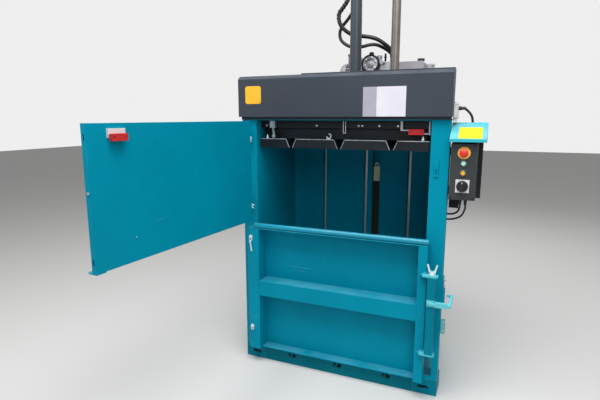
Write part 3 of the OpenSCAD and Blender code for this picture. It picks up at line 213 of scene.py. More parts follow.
# The two colours of a finish, mixed in soft clouds
def cloudColour(tree, s, scale, low, high, detail=4.0):
    clouds = noiseMask(tree, scale, low, high, detail=detail)
    return blendColour(tree, clouds, fromScreen(*s["colour"]), fromScreen(*s["second"]))


def addBump(tree, shader, height, strength, depth, normal=None):
    bump = addNode(tree, "Bump", {"Height": height}, Strength=strength, Distance=depth)
    if normal is not None:
        tree.links.new(normal, bump.inputs["Normal"])
    tree.links.new(bump.outputs[0], shader.inputs["Normal"])


def grainTexture(tree, scale, stretch=(1, 1, 1), detail=2.0):
    place = objectPlace(tree, stretch)
    return addNode(tree, "TexNoise", {"Vector": place}, Scale=scale, Detail=detail).outputs["Fac"]


def paintFinish(name, s):
    mat, tree, shader = newFinish(name)
    colour = cloudColour(tree, s, s["cloudScale"], 0.35, 0.68, 3.0)
    worn = fromScreen(*s["worn"])
    # thin scratches in two directions, gathered in patches
    patch = noiseMask(tree, s["patchScale"], 0.54, 0.66)
    lines = noiseMask(tree, s["scratchScale"], 0.66, 0.72, stretch=(1.0, 1.0, 0.035), turn=(0.3, 0.2, 0.2))
    across = noiseMask(tree, s["scratchScale"], 0.67, 0.73, stretch=(0.04, 0.04, 1.0), turn=(0.1, 0.25, 0.5))
    scratch = product(tree, maths(tree, "MAXIMUM", lines, across), patch, s["scratch"])
    colour = blendColour(tree, scratch, colour, worn)
    # paint rubbed off along the edges
    edge, softNormal = edgeMask(tree, s["edge"])
    rub = product(tree, edge, noiseMask(tree, s["rubScale"], 0.50, 0.62, detail=6.0), s["rub"])
    colour = blendColour(tree, rub, colour, worn)
    # dust on what faces up, which also paints the lighter tops that light from above gives
    dustAndTopLight = product(tree, upMask(tree), noiseMask(tree, s["dustScale"], 0.30, 0.70, detail=6.0), s["dustAndTopLight"])
    colour = blendColour(tree, dustAndTopLight, colour, fromScreen(*s["dustAndTopLightColour"]))
    grime = product(tree, noiseMask(tree, s["grimeScale"], 0.55, 0.80, detail=8.0, rough=0.7), s["grime"])
    colour = blendColour(tree, grime, colour, fromScreen(*s["grimeColour"]))
    matt = maths(tree, "ADD", maths(tree, "ADD", dustAndTopLight, grime), scratch)
    gloss = ramp(tree, matt, 0.0, 1.0, s["roughness"], 0.85)
    feed(tree, shader, {"Base Color": colour, "Roughness": gloss, "Specular IOR Level": s["specular"]})
    # orange peel of the powder coat, over softened edges
    height = maths(tree, "ADD", grainTexture(tree, s["peelScale"]), product(tree, scratch, -1.5))
    addBump(tree, shader, height, s["peel"], 0.0006, softNormal)
    return mat


def metalFinish(name, s):
    mat, tree, shader = newFinish(name)
    colour = cloudColour(tree, s, s["stainScale"], 0.40, 0.72, 6.0)
    edge, softNormal = edgeMask(tree, s["edge"])
    colour = blendColour(tree, product(tree, edge, s["shine"]), colour, fromScreen(*s["bright"]))
    grain = grainTexture(tree, s["grainScale"], s["grainStretch"], 3.0)
    gloss = ramp(tree, grain, 0.3, 0.7, s["roughness"] - s["spread"], s["roughness"] + s["spread"])
    feed(tree, shader, {"Base Color": colour, "Metallic": s["metal"], "Roughness": gloss})
    addBump(tree, shader, grain, s["grain"], 0.0004, softNormal)
    return mat


def plasticFinish(name, s):
    mat, tree, shader = newFinish(name)
    edge, softNormal = edgeMask(tree, s["edge"])
    clouds = cloudColour(tree, s, s["cloudScale"], 0.35, 0.70)
    colour = blendColour(tree, product(tree, edge, s["rub"]), clouds, fromScreen(*s["worn"]))
    feed(tree, shader, {"Base Color": colour, "Roughness": s["roughness"], "Specular IOR Level": s["specular"]})
    addBump(tree, shader, grainTexture(tree, s["grainScale"]), s["grain"], 0.0003, softNormal)
    return mat


tealPaint = {
    "colour": (0, 130, 156), "second": (0, 139, 166), "cloudScale": 2.2, "worn": (104, 178, 192),
    "patchScale": 3.1, "scratchScale": 90.0, "scratch": 0.26, "edge": 0.0024, "rubScale": 24.0, "rub": 0.70,
    "dustAndTopLight": 0.30, "dustScale": 9.0, "dustAndTopLightColour": (116, 168, 178), "grime": 0.16, "grimeScale": 6.0,
    "grimeColour": (4, 92, 110), "roughness": 0.42, "specular": 0.05, "peelScale": 420.0, "peel": 0.10,
}
slatePaint = {
    "colour": (48, 55, 63), "second": (56, 62, 71), "cloudScale": 2.0, "worn": (140, 146, 152),
    "patchScale": 3.0, "scratchScale": 90.0, "scratch": 0.16, "edge": 0.0018, "rubScale": 30.0, "rub": 0.35,
    "dustAndTopLight": 0.30, "dustScale": 8.0, "dustAndTopLightColour": (128, 134, 140), "grime": 0.12, "grimeScale": 7.0,
    "grimeColour": (46, 51, 58), "roughness": 0.50, "specular": 0.22, "peelScale": 500.0, "peel": 0.12,
}
charcoalPaint = {
    "colour": (14, 20, 26), "second": (26, 34, 41), "cloudScale": 5.0, "worn": (120, 128, 132),
    "patchScale": 6.0, "scratchScale": 70.0, "scratch": 0.55, "edge": 0.0020, "rubScale": 30.0, "rub": 0.9,
    "dustAndTopLight": 0.25, "dustScale": 10.0, "dustAndTopLightColour": (110, 112, 112), "grime": 0.35, "grimeScale": 12.0,
    "grimeColour": (48, 52, 55), "roughness": 0.50, "specular": 0.25, "peelScale": 300.0, "peel": 0.15,
}
blackPaint = {
    **charcoalPaint, "colour": (18, 20, 23), "second": (26, 28, 31), "cloudScale": 6.0, "worn": (92, 94, 96),
    "patchScale": 5.0, "scratchScale": 80.0, "scratch": 0.30, "edge": 0.0015, "rub": 0.5,
    "dustAndTopLightColour": (80, 82, 84), "grime": 0.20, "grimeColour": (34, 36, 38), "roughness": 0.48, "peel": 0.12,
}
barrelPaint = {
    "colour": (53, 61, 68), "second": (46, 54, 61), "cloudScale": 3.0, "worn": (150, 158, 164),
    "patchScale": 3.0, "scratchScale": 80.0, "scratch": 0.30, "edge": 0.0016, "rubScale": 30.0, "rub": 0.5,
    "dustAndTopLight": 0.25, "dustScale": 9.0, "dustAndTopLightColour": (140, 146, 150), "grime": 0.18, "grimeScale": 9.0,
    "grimeColour": (48, 55, 61), "roughness": 0.34, "specular": 0.40, "peelScale": 400.0, "peel": 0.10,
}
tankPaint = {
    "colour": (152, 151, 158), "second": (143, 142, 149), "cloudScale": 4.0, "worn": (206, 206, 206),
    "patchScale": 4.0, "scratchScale": 80.0, "scratch": 0.20, "edge": 0.0025, "rubScale": 30.0, "rub": 0.3,
    "dustAndTopLight": 0.20, "dustScale": 9.0, "dustAndTopLightColour": (150, 148, 144), "grime": 0.20, "grimeScale": 9.0,
    "grimeColour": (120, 118, 116), "roughness": 0.42, "specular": 0.45, "peelScale": 300.0, "peel": 0.18,
}
boxPaint = {
    "colour": (42, 47, 50), "second": (48, 53, 56), "cloudScale": 6.0, "worn": (120, 124, 128),
    "patchScale": 6.0, "scratchScale": 90.0, "scratch": 0.15, "edge": 0.0016, "rubScale": 40.0, "rub": 0.35,
    "dustAndTopLight": 0.20, "dustScale": 10.0, "dustAndTopLightColour": (120, 124, 126), "grime": 0.10, "grimeScale": 12.0,
    "grimeColour": (50, 54, 56), "roughness": 0.46, "specular": 0.40, "peelScale": 600.0, "peel": 0.20,
}
whitePaint = {
    **boxPaint, "colour": (222, 224, 226), "second": (212, 214, 216), "worn": (180, 182, 184), "edge": 0.0012,
    "rub": 0.3, "dustAndTopLightColour": (170, 170, 168), "grimeColour": (160, 160, 158), "roughness": 0.45, "peel": 0.1,
}
zincPlate = {
    "colour": (186, 190, 196), "second": (158, 163, 170), "stainScale": 14.0, "edge": 0.0010, "shine": 0.5,
    "bright": (222, 225, 228), "metal": 0.75, "grainStretch": (1, 1, 1), "grainScale": 90.0, "roughness": 0.42,
    "spread": 0.10, "grain": 0.12,
}
tubeSteel = {
    "colour": (120, 116, 112), "second": (98, 95, 91), "stainScale": 5.0, "edge": 0.0012, "shine": 0.3,
    "bright": (190, 188, 184), "metal": 0.65, "grainStretch": (1, 1, 0.03), "grainScale": 120.0,
    "roughness": 0.40, "spread": 0.10, "grain": 0.18,
}
rodChrome = {
    "colour": (214, 217, 220), "second": (196, 199, 204), "stainScale": 6.0, "edge": 0.0010, "shine": 0.3,
    "bright": (235, 236, 238), "metal": 1.0, "grainStretch": (1, 1, 1), "grainScale": 200.0,
    "roughness": 0.16, "spread": 0.05, "grain": 0.03,
}
castAluminium = {
    "colour": (196, 198, 202), "second": (160, 163, 168), "stainScale": 18.0, "edge": 0.0018, "shine": 0.5,
    "bright": (232, 233, 235), "metal": 0.8, "grainStretch": (1, 1, 1), "grainScale": 260.0,
    "roughness": 0.36, "spread": 0.12, "grain": 0.25,
}
blackPlastic = {
    "colour": (20, 21, 23), "second": (28, 29, 31), "cloudScale": 20.0, "edge": 0.0010, "rub": 0.35,
    "worn": (70, 72, 74), "roughness": 0.50, "specular": 0.40, "grainScale": 700.0, "grain": 0.18,
}
redPlastic = {
    "colour": (196, 36, 38), "second": (178, 28, 32), "cloudScale": 16.0, "edge": 0.0010, "rub": 0.35,
    "worn": (226, 120, 116), "roughness": 0.42, "specular": 0.45, "grainScale": 600.0, "grain": 0.12,
}
stopYellow = {
    "colour": (252, 196, 92), "second": (250, 184, 74), "cloudScale": 20.0, "edge": 0.0010, "rub": 0.25,
    "worn": (250, 214, 130), "roughness": 0.34, "specular": 0.50, "grainScale": 600.0, "grain": 0.06,
}
stopRed = {
    **stopYellow, "colour": (212, 48, 40), "second": (196, 36, 32), "cloudScale": 24.0, "edge": 0.0012,
    "rub": 0.30, "worn": (236, 128, 112), "roughness": 0.30, "grain": 0.05,
}
# the start button's pale bright green is painted glow of the lit button
startGreen = {
    "colour": (150, 240, 190), "second": (184, 250, 214), "cloudScale": 60.0, "edge": 0.0008, "rub": 0.3,
    "worn": (206, 246, 228), "roughness": 0.22, "specular": 0.55, "grainScale": 500.0, "grain": 0.05,
}
returnAmber = {
    **startGreen, "colour": (226, 158, 30), "second": (240, 182, 60), "worn": (250, 220, 140), "roughness": 0.24,
}
switchWhite = {
    "colour": (214, 215, 216), "second": (204, 205, 207), "cloudScale": 20.0, "edge": 0.0008, "rub": 0.2,
    "worn": (236, 236, 236), "roughness": 0.38, "specular": 0.45, "grainScale": 500.0, "grain": 0.05,
}
hoseRubber = {
    "colour": (22, 22, 24), "second": (34, 34, 36), "cloudScale": 30.0, "edge": 0.0010, "rub": 0.2,
    "worn": (70, 70, 72), "roughness": 0.46, "specular": 0.45, "grainScale": 400.0, "grain": 0.20,
}
webbingCloth = {
    "colour": (168, 160, 132), "second": (146, 138, 112), "cloudScale": 14.0, "edge": 0.0010, "rub": 0.2,
    "worn": (196, 190, 168), "roughness": 0.85, "specular": 0.20, "grainScale": 900.0, "grain": 0.6,
}

finishes = {
    "teal_paint": paintFinish("tealPaint", tealPaint),
    "slate_paint": paintFinish("slatePaint", slatePaint),
    "charcoal_paint": paintFinish("charcoalPaint", charcoalPaint),
    "black_paint": paintFinish("blackPaint", blackPaint),
    "barrel_paint": paintFinish("barrelPaint", barrelPaint),
    "tank_paint": paintFinish("tankPaint", tankPaint),
    "box_paint": paintFinish("boxPaint", boxPaint),
    "white_paint": paintFinish("whitePaint", whitePaint),
    "zinc": metalFinish("zincPlate", zincPlate),
    "tube_steel": metalFinish("tubeSteel", tubeSteel),
    "rod_chrome": metalFinish("rodChrome", rodChrome),
    "block_aluminium": metalFinish("castAluminium", castAluminium),
    "black_plastic": plasticFinish("blackPlastic", blackPlastic),
    "hose_rubber": plasticFinish("hoseRubber", hoseRubber),
    "red_plastic": plasticFinish("redPlastic", redPlastic),
    "stop_yellow": plasticFinish("stopYellow", stopYellow),
    "stop_red": plasticFinish("stopRed", stopRed),
    "start_green": plasticFinish("startGreen", startGreen),
    "return_amber": plasticFinish("returnAmber", returnAmber),
    "switch_white": plasticFinish("switchWhite", switchWhite),
    "webbing": plasticFinish("webbingCloth", webbingCloth),
}


# Nodes whose coat is drawn lighter, darker or dirtier than the rest of their colour, some of it painted light and
# shade
changedCoats = {
    # the hood's lighter coat and heavier pale top are painted light from above
    "control_hood": (tealPaint, {"colour": (54, 164, 180), "second": (70, 176, 188), "dustAndTopLight": 0.55,
                                 "dustAndTopLightColour": (168, 210, 214)}),
    # the sill's darker coat is painted shade under the door's ledge; its heavier grime is dirt
    "front_sill": (tealPaint, {"colour": (0, 104, 120), "second": (0, 112, 129), "grime": 0.34,
                               "grimeColour": (22, 66, 72)}),
    # the feet's darker coat is painted shade, as on the sill
    "base_feet": (tealPaint, {"colour": (0, 112, 134), "second": (0, 120, 143), "grime": 0.26,
                              "grimeColour": (20, 70, 80)}),
    # the upper door's lighter coat is painted light
    "upper_door": (tealPaint, {"colour": (0, 133, 160), "second": (0, 142, 170)}),
    "lock_bar": (tealPaint, {"colour": (0, 114, 136), "second": (0, 122, 146)}),
    "door_top_bar": (tealPaint, {"specular": 0.45, "roughness": 0.26}),
    "press_plate": (charcoalPaint, {"second": (19, 27, 34)}),
}
# Pale, barely metallic steel for the strap guides: painted light that lifts them out of the chamber's shade
guideSteel = {**tubeSteel, "colour": (206, 212, 214), "second": (176, 182, 184), "metal": 0.30}
# Near-white steel for the hinge clips, pins and wing nut, drawn pale as painted light on small lit parts
clipSteel = {
    "colour": (206, 226, 233), "second": (178, 202, 211), "stainScale": 30.0, "edge": 0.0010, "shine": 0.4,
    "bright": (248, 250, 252), "metal": 0.15, "grainStretch": (1, 1, 1), "grainScale": 160.0, "roughness": 0.35,
    "spread": 0.1, "grain": 0.1,
}
# Bands on the right of a piece where its paint is drawn pale, in metres. On the lock bar the band is the lock
# finger's paler face with its painted highlight.
paleBands = {
    "lock_bar": {"levels": (0.574,), "half": 0.018, "left": 0.526, "colour": (112, 208, 216),
                 "amount": 0.75},
    "bale_door": {"levels": (0.715, 0.285), "half": 0.012, "left": 0.500, "colour": (100, 204, 214),
                  "amount": 0.60},
    "post_brackets": {"levels": (0.410,), "half": 0.050, "left": 0.592, "colour": (150, 206, 202),
                      "amount": 0.60},
}
bandBlur = (0.001, 0.002)


def addPaleBands(name, s):
    mat = nodes[name].data.materials[0].copy()
    nodes[name].data.materials[0] = mat
    tree = mat.node_tree
    coat = tree.nodes["Principled BSDF"].inputs["Base Color"]
    before = coat.links[0].from_socket
    place = tree.nodes.new("ShaderNodeSeparateXYZ")
    tree.links.new(objectPlace(tree), place.inputs[0])
    near = 0.0
    for level in s["levels"]:
        gap = maths(tree, "ABSOLUTE", maths(tree, "SUBTRACT", place.outputs["Z"], level))
        near = maths(tree, "MAXIMUM", near, ramp(tree, gap, s["half"], s["half"] + bandBlur[0], 1.0, 0.0))
    right = ramp(tree, place.outputs["X"], s["left"], s["left"] + bandBlur[1], 0.0, s["amount"])
    tree.links.new(blendColour(tree, product(tree, near, right), before, fromScreen(*s["colour"])), coat)


def dressNodes():
    slotOf = {part["node"]: part["material_slot"] for part in frame["record"]["subparts"]}
    for name, thing in nodes.items():
        thing.data.materials.clear()
        thing.data.materials.append(finishes[slotOf[name]])
    for name, (base, changes) in changedCoats.items():
        nodes[name].data.materials[0] = paintFinish(name + "_coat", {**base, **changes})
    # the strap guides' pale steel is painted light
    nodes["strap_guides"].data.materials[0] = metalFinish("guideSteel", guideSteel)
    # the wing nut takes the same near-white steel, painted light
    nodes["lock_wing_nut"].data.materials[0] = metalFinish("nutSteel", clipSteel)
    for name, band in paleBands.items():
        addPaleBands(name, band)


dressNodes()
print("finishes made,", len(finishes))

# Sizes below are in millimetres, with y measured from the faces of the front posts
postFace = -350.0


def fromPosts(x, y, z):
    return Vector((x / 1000, (y + postFace) / 1000, z / 1000))


def startFresh():
    if bpy.context.object and bpy.context.object.mode != "OBJECT":
        bpy.ops.object.mode_set(mode="OBJECT")
    bpy.ops.object.select_all(action="DESELECT")


def pick(piece):
    startFresh()
    piece.select_set(True)
    bpy.context.view_layer.objects.active = piece


def settle(piece):
    pick(piece)
    bpy.ops.object.transform_apply(location=True, rotation=True, scale=True)
    return piece


def useModifier(piece, kind, **values):
    pick(piece)
    made = piece.modifiers.new(kind.lower(), kind)
    for key, value in values.items():
        setattr(made, key, value)
    bpy.ops.object.modifier_apply(modifier=made.name)


def addBlock(name, x0, x1, y0, y1, z0, z1, edge=0.0, steps=2):
    startFresh()
    bpy.ops.mesh.primitive_cube_add(size=1.0, location=fromPosts((x0 + x1) / 2, (y0 + y1) / 2, (z0 + z1) / 2))
    block = bpy.context.object
    block.name = name
    block.scale = ((x1 - x0) / 1000, (y1 - y0) / 1000, (z1 - z0) / 1000)
    settle(block)
    if edge:
        useModifier(block, "BEVEL", width=edge / 1000, segments=steps, limit_method="ANGLE")
    return block


turns = {"x": (0, math.pi / 2, 0), "y": (math.pi / 2, 0, 0), "z": (0, 0, 0)}


def addRound(name, x, y, z, axis, radius, length, sides=24, edge=0.0, top=None):
    startFresh()
    spot = fromPosts(x, y, z)
    if top is None:
        bpy.ops.mesh.primitive_cylinder_add(vertices=sides, radius=radius / 1000, depth=length / 1000,
                                            location=spot, rotation=turns[axis])
    else:
        bpy.ops.mesh.primitive_cone_add(vertices=sides, radius1=radius / 1000, radius2=top / 1000,
                                        depth=length / 1000, location=spot, rotation=turns[axis])
    made = bpy.context.object
    made.name = name
    settle(made)
    if edge:
        useModifier(made, "BEVEL", width=edge / 1000, segments=2, limit_method="ANGLE",
                    angle_limit=math.radians(50))
    return made


def addRing(name, x, y, z, axis, radius, thick, around=28, across=8):
    startFresh()
    bpy.ops.mesh.primitive_torus_add(location=fromPosts(x, y, z), rotation=turns[axis],
                                     major_radius=radius / 1000, minor_radius=thick / 1000,
                                     major_segments=around, minor_segments=across)
    made = bpy.context.object
    made.name = name
    return settle(made)


# Edit mode with all of the piece selected, or only the faces or edges that pass a test
def enterEdit(piece, kind="FACE", test=None):
    pick(piece)
    bpy.ops.object.mode_set(mode="EDIT")
    bpy.ops.mesh.select_mode(type=kind)
    bpy.ops.mesh.select_all(action="DESELECT" if test else "SELECT")
    if test:
        leaveEdit()
        for item in piece.data.polygons if kind == "FACE" else piece.data.edges:
            item.select = bool(test(item))
        bpy.ops.object.mode_set(mode="EDIT")


def leaveEdit():
    bpy.ops.object.mode_set(mode="OBJECT")


# An inset in the faces that look along the given direction, then pushed in or out
def panelIn(piece, direction, inset, depth):
    way = Vector(direction)
    enterEdit(piece, "FACE", lambda face: face.normal.dot(way) > 0.9)
    bpy.ops.mesh.inset(thickness=inset / 1000, use_even_offset=True)
    bpy.ops.transform.translate(value=way * depth / 1000)
    leaveEdit()


# Rounds the four edges that run along the thin direction of a plate, given as 0, 1 or 2
def roundCorners(plate, thin, radius, segments=5):
    def isCorner(edge):
        a, b = (plate.data.vertices[i].co for i in edge.vertices)
        return abs((b - a).normalized()[thin]) > 0.95

    enterEdit(plate, "EDGE", isCorner)
    bpy.ops.mesh.bevel(offset=radius / 1000, segments=segments)
    leaveEdit()


def joinAll(parts, name):
    startFresh()
    for part in parts:
        part.select_set(True)
    bpy.context.view_layer.objects.active = parts[0]
    bpy.ops.object.join()
    made = bpy.context.object
    made.name = name
    return made


def finishPiece(piece, body, finish, instead=(), smooth=38):
    pick(piece)
    if smooth:
        bpy.ops.object.shade_smooth_by_angle(angle=math.radians(smooth))
    piece.data.materials.clear()
    piece.data.materials.append(finishes[finish] if isinstance(finish, str) else finish)
    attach(piece, body)
    if instead:
        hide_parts(*instead)
    return piece


# A smooth run through the points, with a few steps to each stretch
def smoothRun(points, steps):
    run = []
    count = len(points)
    for i in range(count - 1):
        a, b, c, d = (Vector(points[min(max(j, 0), count - 1)]) for j in (i - 1, i, i + 1, i + 2))
        for k in range(steps):
            t = k / steps
            run.append(0.5 * ((2 * b) + (c - a) * t + (2 * a - 5 * b + 4 * c - d) * t * t
                              + (3 * b - a - 3 * c + d) * t * t * t))
    run.append(Vector(points[-1]))
    return run


# A tube along a run of points. Every second point is narrowed to the waist
def drawTube(name, run, radius, sides=3, waist=1.0):
    startFresh()
    curve = bpy.data.curves.new(name, "CURVE")
    curve.dimensions = "3D"
    curve.bevel_depth = radius / 1000
    curve.bevel_resolution = sides
    curve.use_fill_caps = True
    spline = curve.splines.new("POLY")
    spline.points.add(len(run) - 1)
    for k, place in enumerate(run):
        spline.points[k].co = (*fromPosts(*place), 1.0)
        spline.points[k].radius = 1.0 if k % 2 else waist
    tube = bpy.data.objects.new(name, curve)
    bpy.context.scene.collection.objects.link(tube)
    pick(tube)
    bpy.ops.object.convert(target="MESH")
    return bpy.context.object


# Points of a wrap that winds round a run, at the given radius and pitch
def wrapRun(run, radius, pitch, start, end, perTurn=10):
    lengths = [0.0]
    for a, b in zip(run, run[1:]):
        lengths.append(lengths[-1] + (b - a).length)
    side = Vector((0.3, 1.0, 0.2))
    points = []
    travel, i = start, 0
    while travel < min(end, lengths[-1] - 1):
        while lengths[i + 1] < travel:
            i += 1
        along = (run[i + 1] - run[i]).normalized()
        spot = run[i].lerp(run[i + 1], (travel - lengths[i]) / max(lengths[i + 1] - lengths[i], 1e-6))
        side = (side - along * side.dot(along)).normalized()
        other = along.cross(side)
        turn = 2 * math.pi * travel / pitch
        points.append(spot + radius * (math.cos(turn) * side + math.sin(turn) * other))
        travel += pitch / perTurn
    return points


hoseSettings = {
    "lines": [
        {"points": [(-62, 322, 2462), (-62, 322, 2440), (-60, 325, 2350), (-56, 331, 2260), (-58, 338, 2195),
                    (-86, 345, 2155), (-115, 350, 2119), (-110, 356, 2063), (-72, 376, 2019), (-21, 390, 1996),
                    (24, 396, 1990), (67, 407, 1983), (108, 421, 1969), (151, 442, 1939), (184, 470, 1908),
                    (190, 484, 1886), (190, 484, 1872)],
         "radius": 12.0, "wrap": (20.0, 392.0)},
        {"points": [(0, 384, 2462), (0, 384, 2440), (0, 386, 2300), (-8, 389, 2200), (-39, 394, 2142),
                    (-75, 402, 2096), (-106, 407, 2065), (-128, 410, 2027), (-120, 410, 1979), (-75, 410, 1943),
                    (-24, 408, 1931), (19, 410, 1933), (59, 420, 1942), (100, 440, 1941), (146, 478, 1918),
                    (172, 512, 1894), (174, 516, 1884), (174, 516, 1872)],
         "radius": 10.0, "wrap": None},
    ],
    "wrapPitch": 21.0, "wrapThick": 3.6, "wrapSink": 0.6,
    # a ferrule: below the upper end and above the lower end, wider than the hose, length, ring wire
    "ferrule": (26, 16, 2.2, 30, 0.9),
}


def makeHoses(s):
    parts = []
    below, above, wider, length, wire = s["ferrule"]
    for line in s["lines"]:
        points, radius = line["points"], line["radius"]
        run = smoothRun(points, 8)
        parts.append(drawTube("hose", run, radius, 5))
        if line["wrap"]:
            wrap = wrapRun(run, radius - s["wrapSink"], s["wrapPitch"], *line["wrap"])
            parts.append(drawTube("wrap", wrap, s["wrapThick"], 1))
        # crimped ferrules with their rings at both ends
        for (x, y, z), lift in ((points[0], -below), (points[-1], above)):
            parts.append(addRound("ferrule", x, y, z + lift, "z", radius + wider, length, 24, 1.2))
            for dz in (-8, 0, 8):
                parts.append(addRing("crimp", x, y, z + lift + dz, "z", radius + wider, wire))
    finishPiece(joinAll(parts, "pressure_hoses"), "frame", "hose_rubber", ["hoses"])


cableSettings = {
    "lines": [
        {"points": [(632, 40, 1556), (644, 40, 1556), (660, 50, 1545), (676, 62, 1526), (684, 72, 1505),
                    (686, 80, 1470), (677, 84, 1430), (676, 84, 1412), (676, 84, 1396)], "radius": 6.0,
         "along": ("x", 1), "sleeve": 8.0},
        {"points": [(650, 45, 1092), (650, 45, 1078), (650, 50, 1060), (640, 72, 1030), (612, 120, 1006),
                    (566, 178, 992), (536, 226, 985), (526, 232, 985), (516, 232, 985)], "radius": 5.0,
         "along": ("z", -1), "sleeve": 7.0},
        {"points": [(676, 45, 1092), (676, 45, 1076), (676, 52, 1050), (658, 84, 1006), (618, 136, 976),
                    (568, 196, 958), (538, 246, 950), (526, 254, 950), (516, 254, 950)], "radius": 5.0,
         "along": ("z", -1), "sleeve": 7.0},
    ],
    # places of the gland nut and the sleeve along the start of a lead
    "nut": 4, "sleeve": 14,
}


def makeCables(s):
    parts = []
    for line in s["lines"]:
        points, (axis, way) = line["points"], line["along"]
        parts.append(drawTube("cable", smoothRun(points, 8), line["radius"], 4))
        step = Vector((way if axis == "x" else 0, 0, way if axis == "z" else 0))
        nut, sleeve = (Vector(points[0]) + step * s[key] for key in ("nut", "sleeve"))
        parts.append(addRound("nut", *nut, axis, 9.0, 8, 6, 0.8))
        parts.append(addRound("sleeve", *sleeve, axis, line["sleeve"], 14, 20, 0.8))
    finishPiece(joinAll(parts, "control_leads"), "frame", "hose_rubber", ["control_cables"])


# The belt that pulls the finished bale out: webbing drawn dark as painted shade, a sewn sleeve drawn near white
# as painted light, and a steel ring
beltSettings = {
    "x": 72.0, "y": 635.0, "half": 19.0, "thick": 1.8, "cuts": 24, "low": 132.0, "sleeve": 1088.0, "top": 1188.0,
    "sleeveThick": 5.0, "stitch": (5.8, 4.6), "sideRows": 18, "endRows": 7, "ring": 13.0, "wire": 2.6,
    # height above the sleeve, radius and length of the peg and of its head
    "peg": (19.7, 4.0, 25.0), "pegHead": (19.7, 7.0, 3.0),
    # how far and how often the webbing sways, in metres
    "sway": (0.0026, 7.3), "ripple": (0.0009, 17.0, 30.0),
    # the webbing's dark colour is painted shade on the belt below the sleeve
    "webbing": {"colour": (52, 46, 38), "second": (70, 62, 50), "thread": (34, 30, 26), "weave": 900.0},
    # the sleeve's near-white colour is painted light, lifting the cloth out of the shade where it hangs
    "sleeveCloth": {"colour": (255, 250, 214), "second": (246, 238, 196), "thread": (214, 204, 162),
                    "weave": 800.0},
}


def wovenFinish(name, s):
    mat, tree, shader = newFinish(name)
    place = objectPlace(tree)
    threads = []
    for way in ("X", "Z"):
        bands = addNode(tree, "TexWave", {"Vector": place}, Scale=s["weave"] / 6.3, Distortion=0.4)
        bands.bands_direction = way
        threads.append(bands.outputs["Fac"])
    weave = product(tree, *threads)
    clouds = cloudColour(tree, s, 18.0, 0.35, 0.7)
    colour = blendColour(tree, ramp(tree, weave, 0.0, 0.5, 0.6, 0.0), clouds, fromScreen(*s["thread"]))
    feed(tree, shader, {"Base Color": colour, "Roughness": 0.85, "Specular IOR Level": 0.15, "Sheen Weight": 0.2})
    addBump(tree, shader, weave, 0.5, 0.0008)
    return mat


def makeBelt(s):
    x, y, h = s["x"], s["y"], s["half"]
    belt = addBlock("ejector_webbing", x - h, x + h, y - s["thick"], y + s["thick"], s["low"], s["sleeve"] + 6)
    enterEdit(belt)
    bpy.ops.mesh.subdivide(number_cuts=s["cuts"])
    leaveEdit()
    swing, slow = s["sway"]
    ripple, quick, across = s["ripple"]
    for vert in belt.data.vertices:
        sway = math.sin(vert.co.z * slow) * swing + math.sin(vert.co.z * quick + vert.co.x * across) * ripple
        vert.co.y += sway * min(1.0, (vert.co.z - s["low"] / 1000) * 6) * (1.0 if vert.co.z < 1.0 else 0.3)
    useModifier(belt, "BEVEL", width=0.0008, segments=1, limit_method="ANGLE")
    finishPiece(belt, "frame", wovenFinish("shadeDarkWebbing", s["webbing"]), ["ejector_belt"])
    deep = s["sleeveThick"]
    rows = [addBlock("ejector_sleeve", x - h - 3, x + h + 3, y - deep, y + deep, s["sleeve"], s["top"], 3.2, 3)]
    front, back = (y - depth for depth in s["stitch"])
    for middle in (x - h + 3, x + h - 3):
        for k in range(s["sideRows"]):
            z = s["sleeve"] + 8 + k * 5
            rows.append(addBlock("stitch", middle - 0.7, middle + 0.7, front, back, z, z + 3.2, 0.4, 1))
    for z in (s["sleeve"] + 8, s["top"] - 14):
        for k in range(s["endRows"]):
            left = x - h + 5 + k * 4.2
            rows.append(addBlock("stitch", left, left + 2.8, front, back, z, z + 1.4, 0.4, 1))
    sleeve = joinAll(rows, "ejector_sleeve")
    finishPiece(sleeve, "frame", wovenFinish("sleeveCloth", s["sleeveCloth"]), ["ejector_belt"])
    parts = [addRing("ejector_ring", x, y, s["top"] + s["ring"], "y", s["ring"], s["wire"], 32, 10)]
    for name, dy, (up, radius, length) in (("peg", 6, s["peg"]), ("pegHead", -7, s["pegHead"])):
        parts.append(addRound(name, x, y + dy, s["top"] + up, "y", radius, length, 18, 0.8))
    finishPiece(joinAll(parts, "ejector_ring"), "frame", "zinc", ["ejector_belt"])


# Plain plates stuck on the header and on the control hood, with nothing on them
plateSettings = {
    "info": {"x": (149, 371), "z": (1516, 1666), "y": (-33.2, -32.0), "band": 72, "rim": 3.0,
             "colour": (212, 209, 219), "bandColour": (158, 158, 171)},
    "amber": {"x": (-549, -448), "z": (1588, 1687), "y": (-33.0, -32.0), "round": 14.0, "rim": 2.0,
              "colour": (232, 176, 48)},
    # foot and head are the ends of the hood's slope, as y and z, and the plate covers a part of it
    "hood": {"x": (631, 739), "foot": (-56, 1409), "head": (60, 1487), "along": (0.03, 0.68), "thick": 1.2,
             "rim": 4.0, "colour": (222, 222, 30)},
    "sink": 0.15,
}


def plainPlate(name, colour):
    s = {"colour": colour, "second": tuple(int(c * 0.95) for c in colour), "cloudScale": 9.0, "edge": 0.0008,
         "rub": 0.2, "worn": tuple(min(255, int(c * 1.06)) for c in colour), "roughness": 0.42, "specular": 0.3,
         "grainScale": 300.0, "grain": 0.03}
    return plasticFinish(name, s)


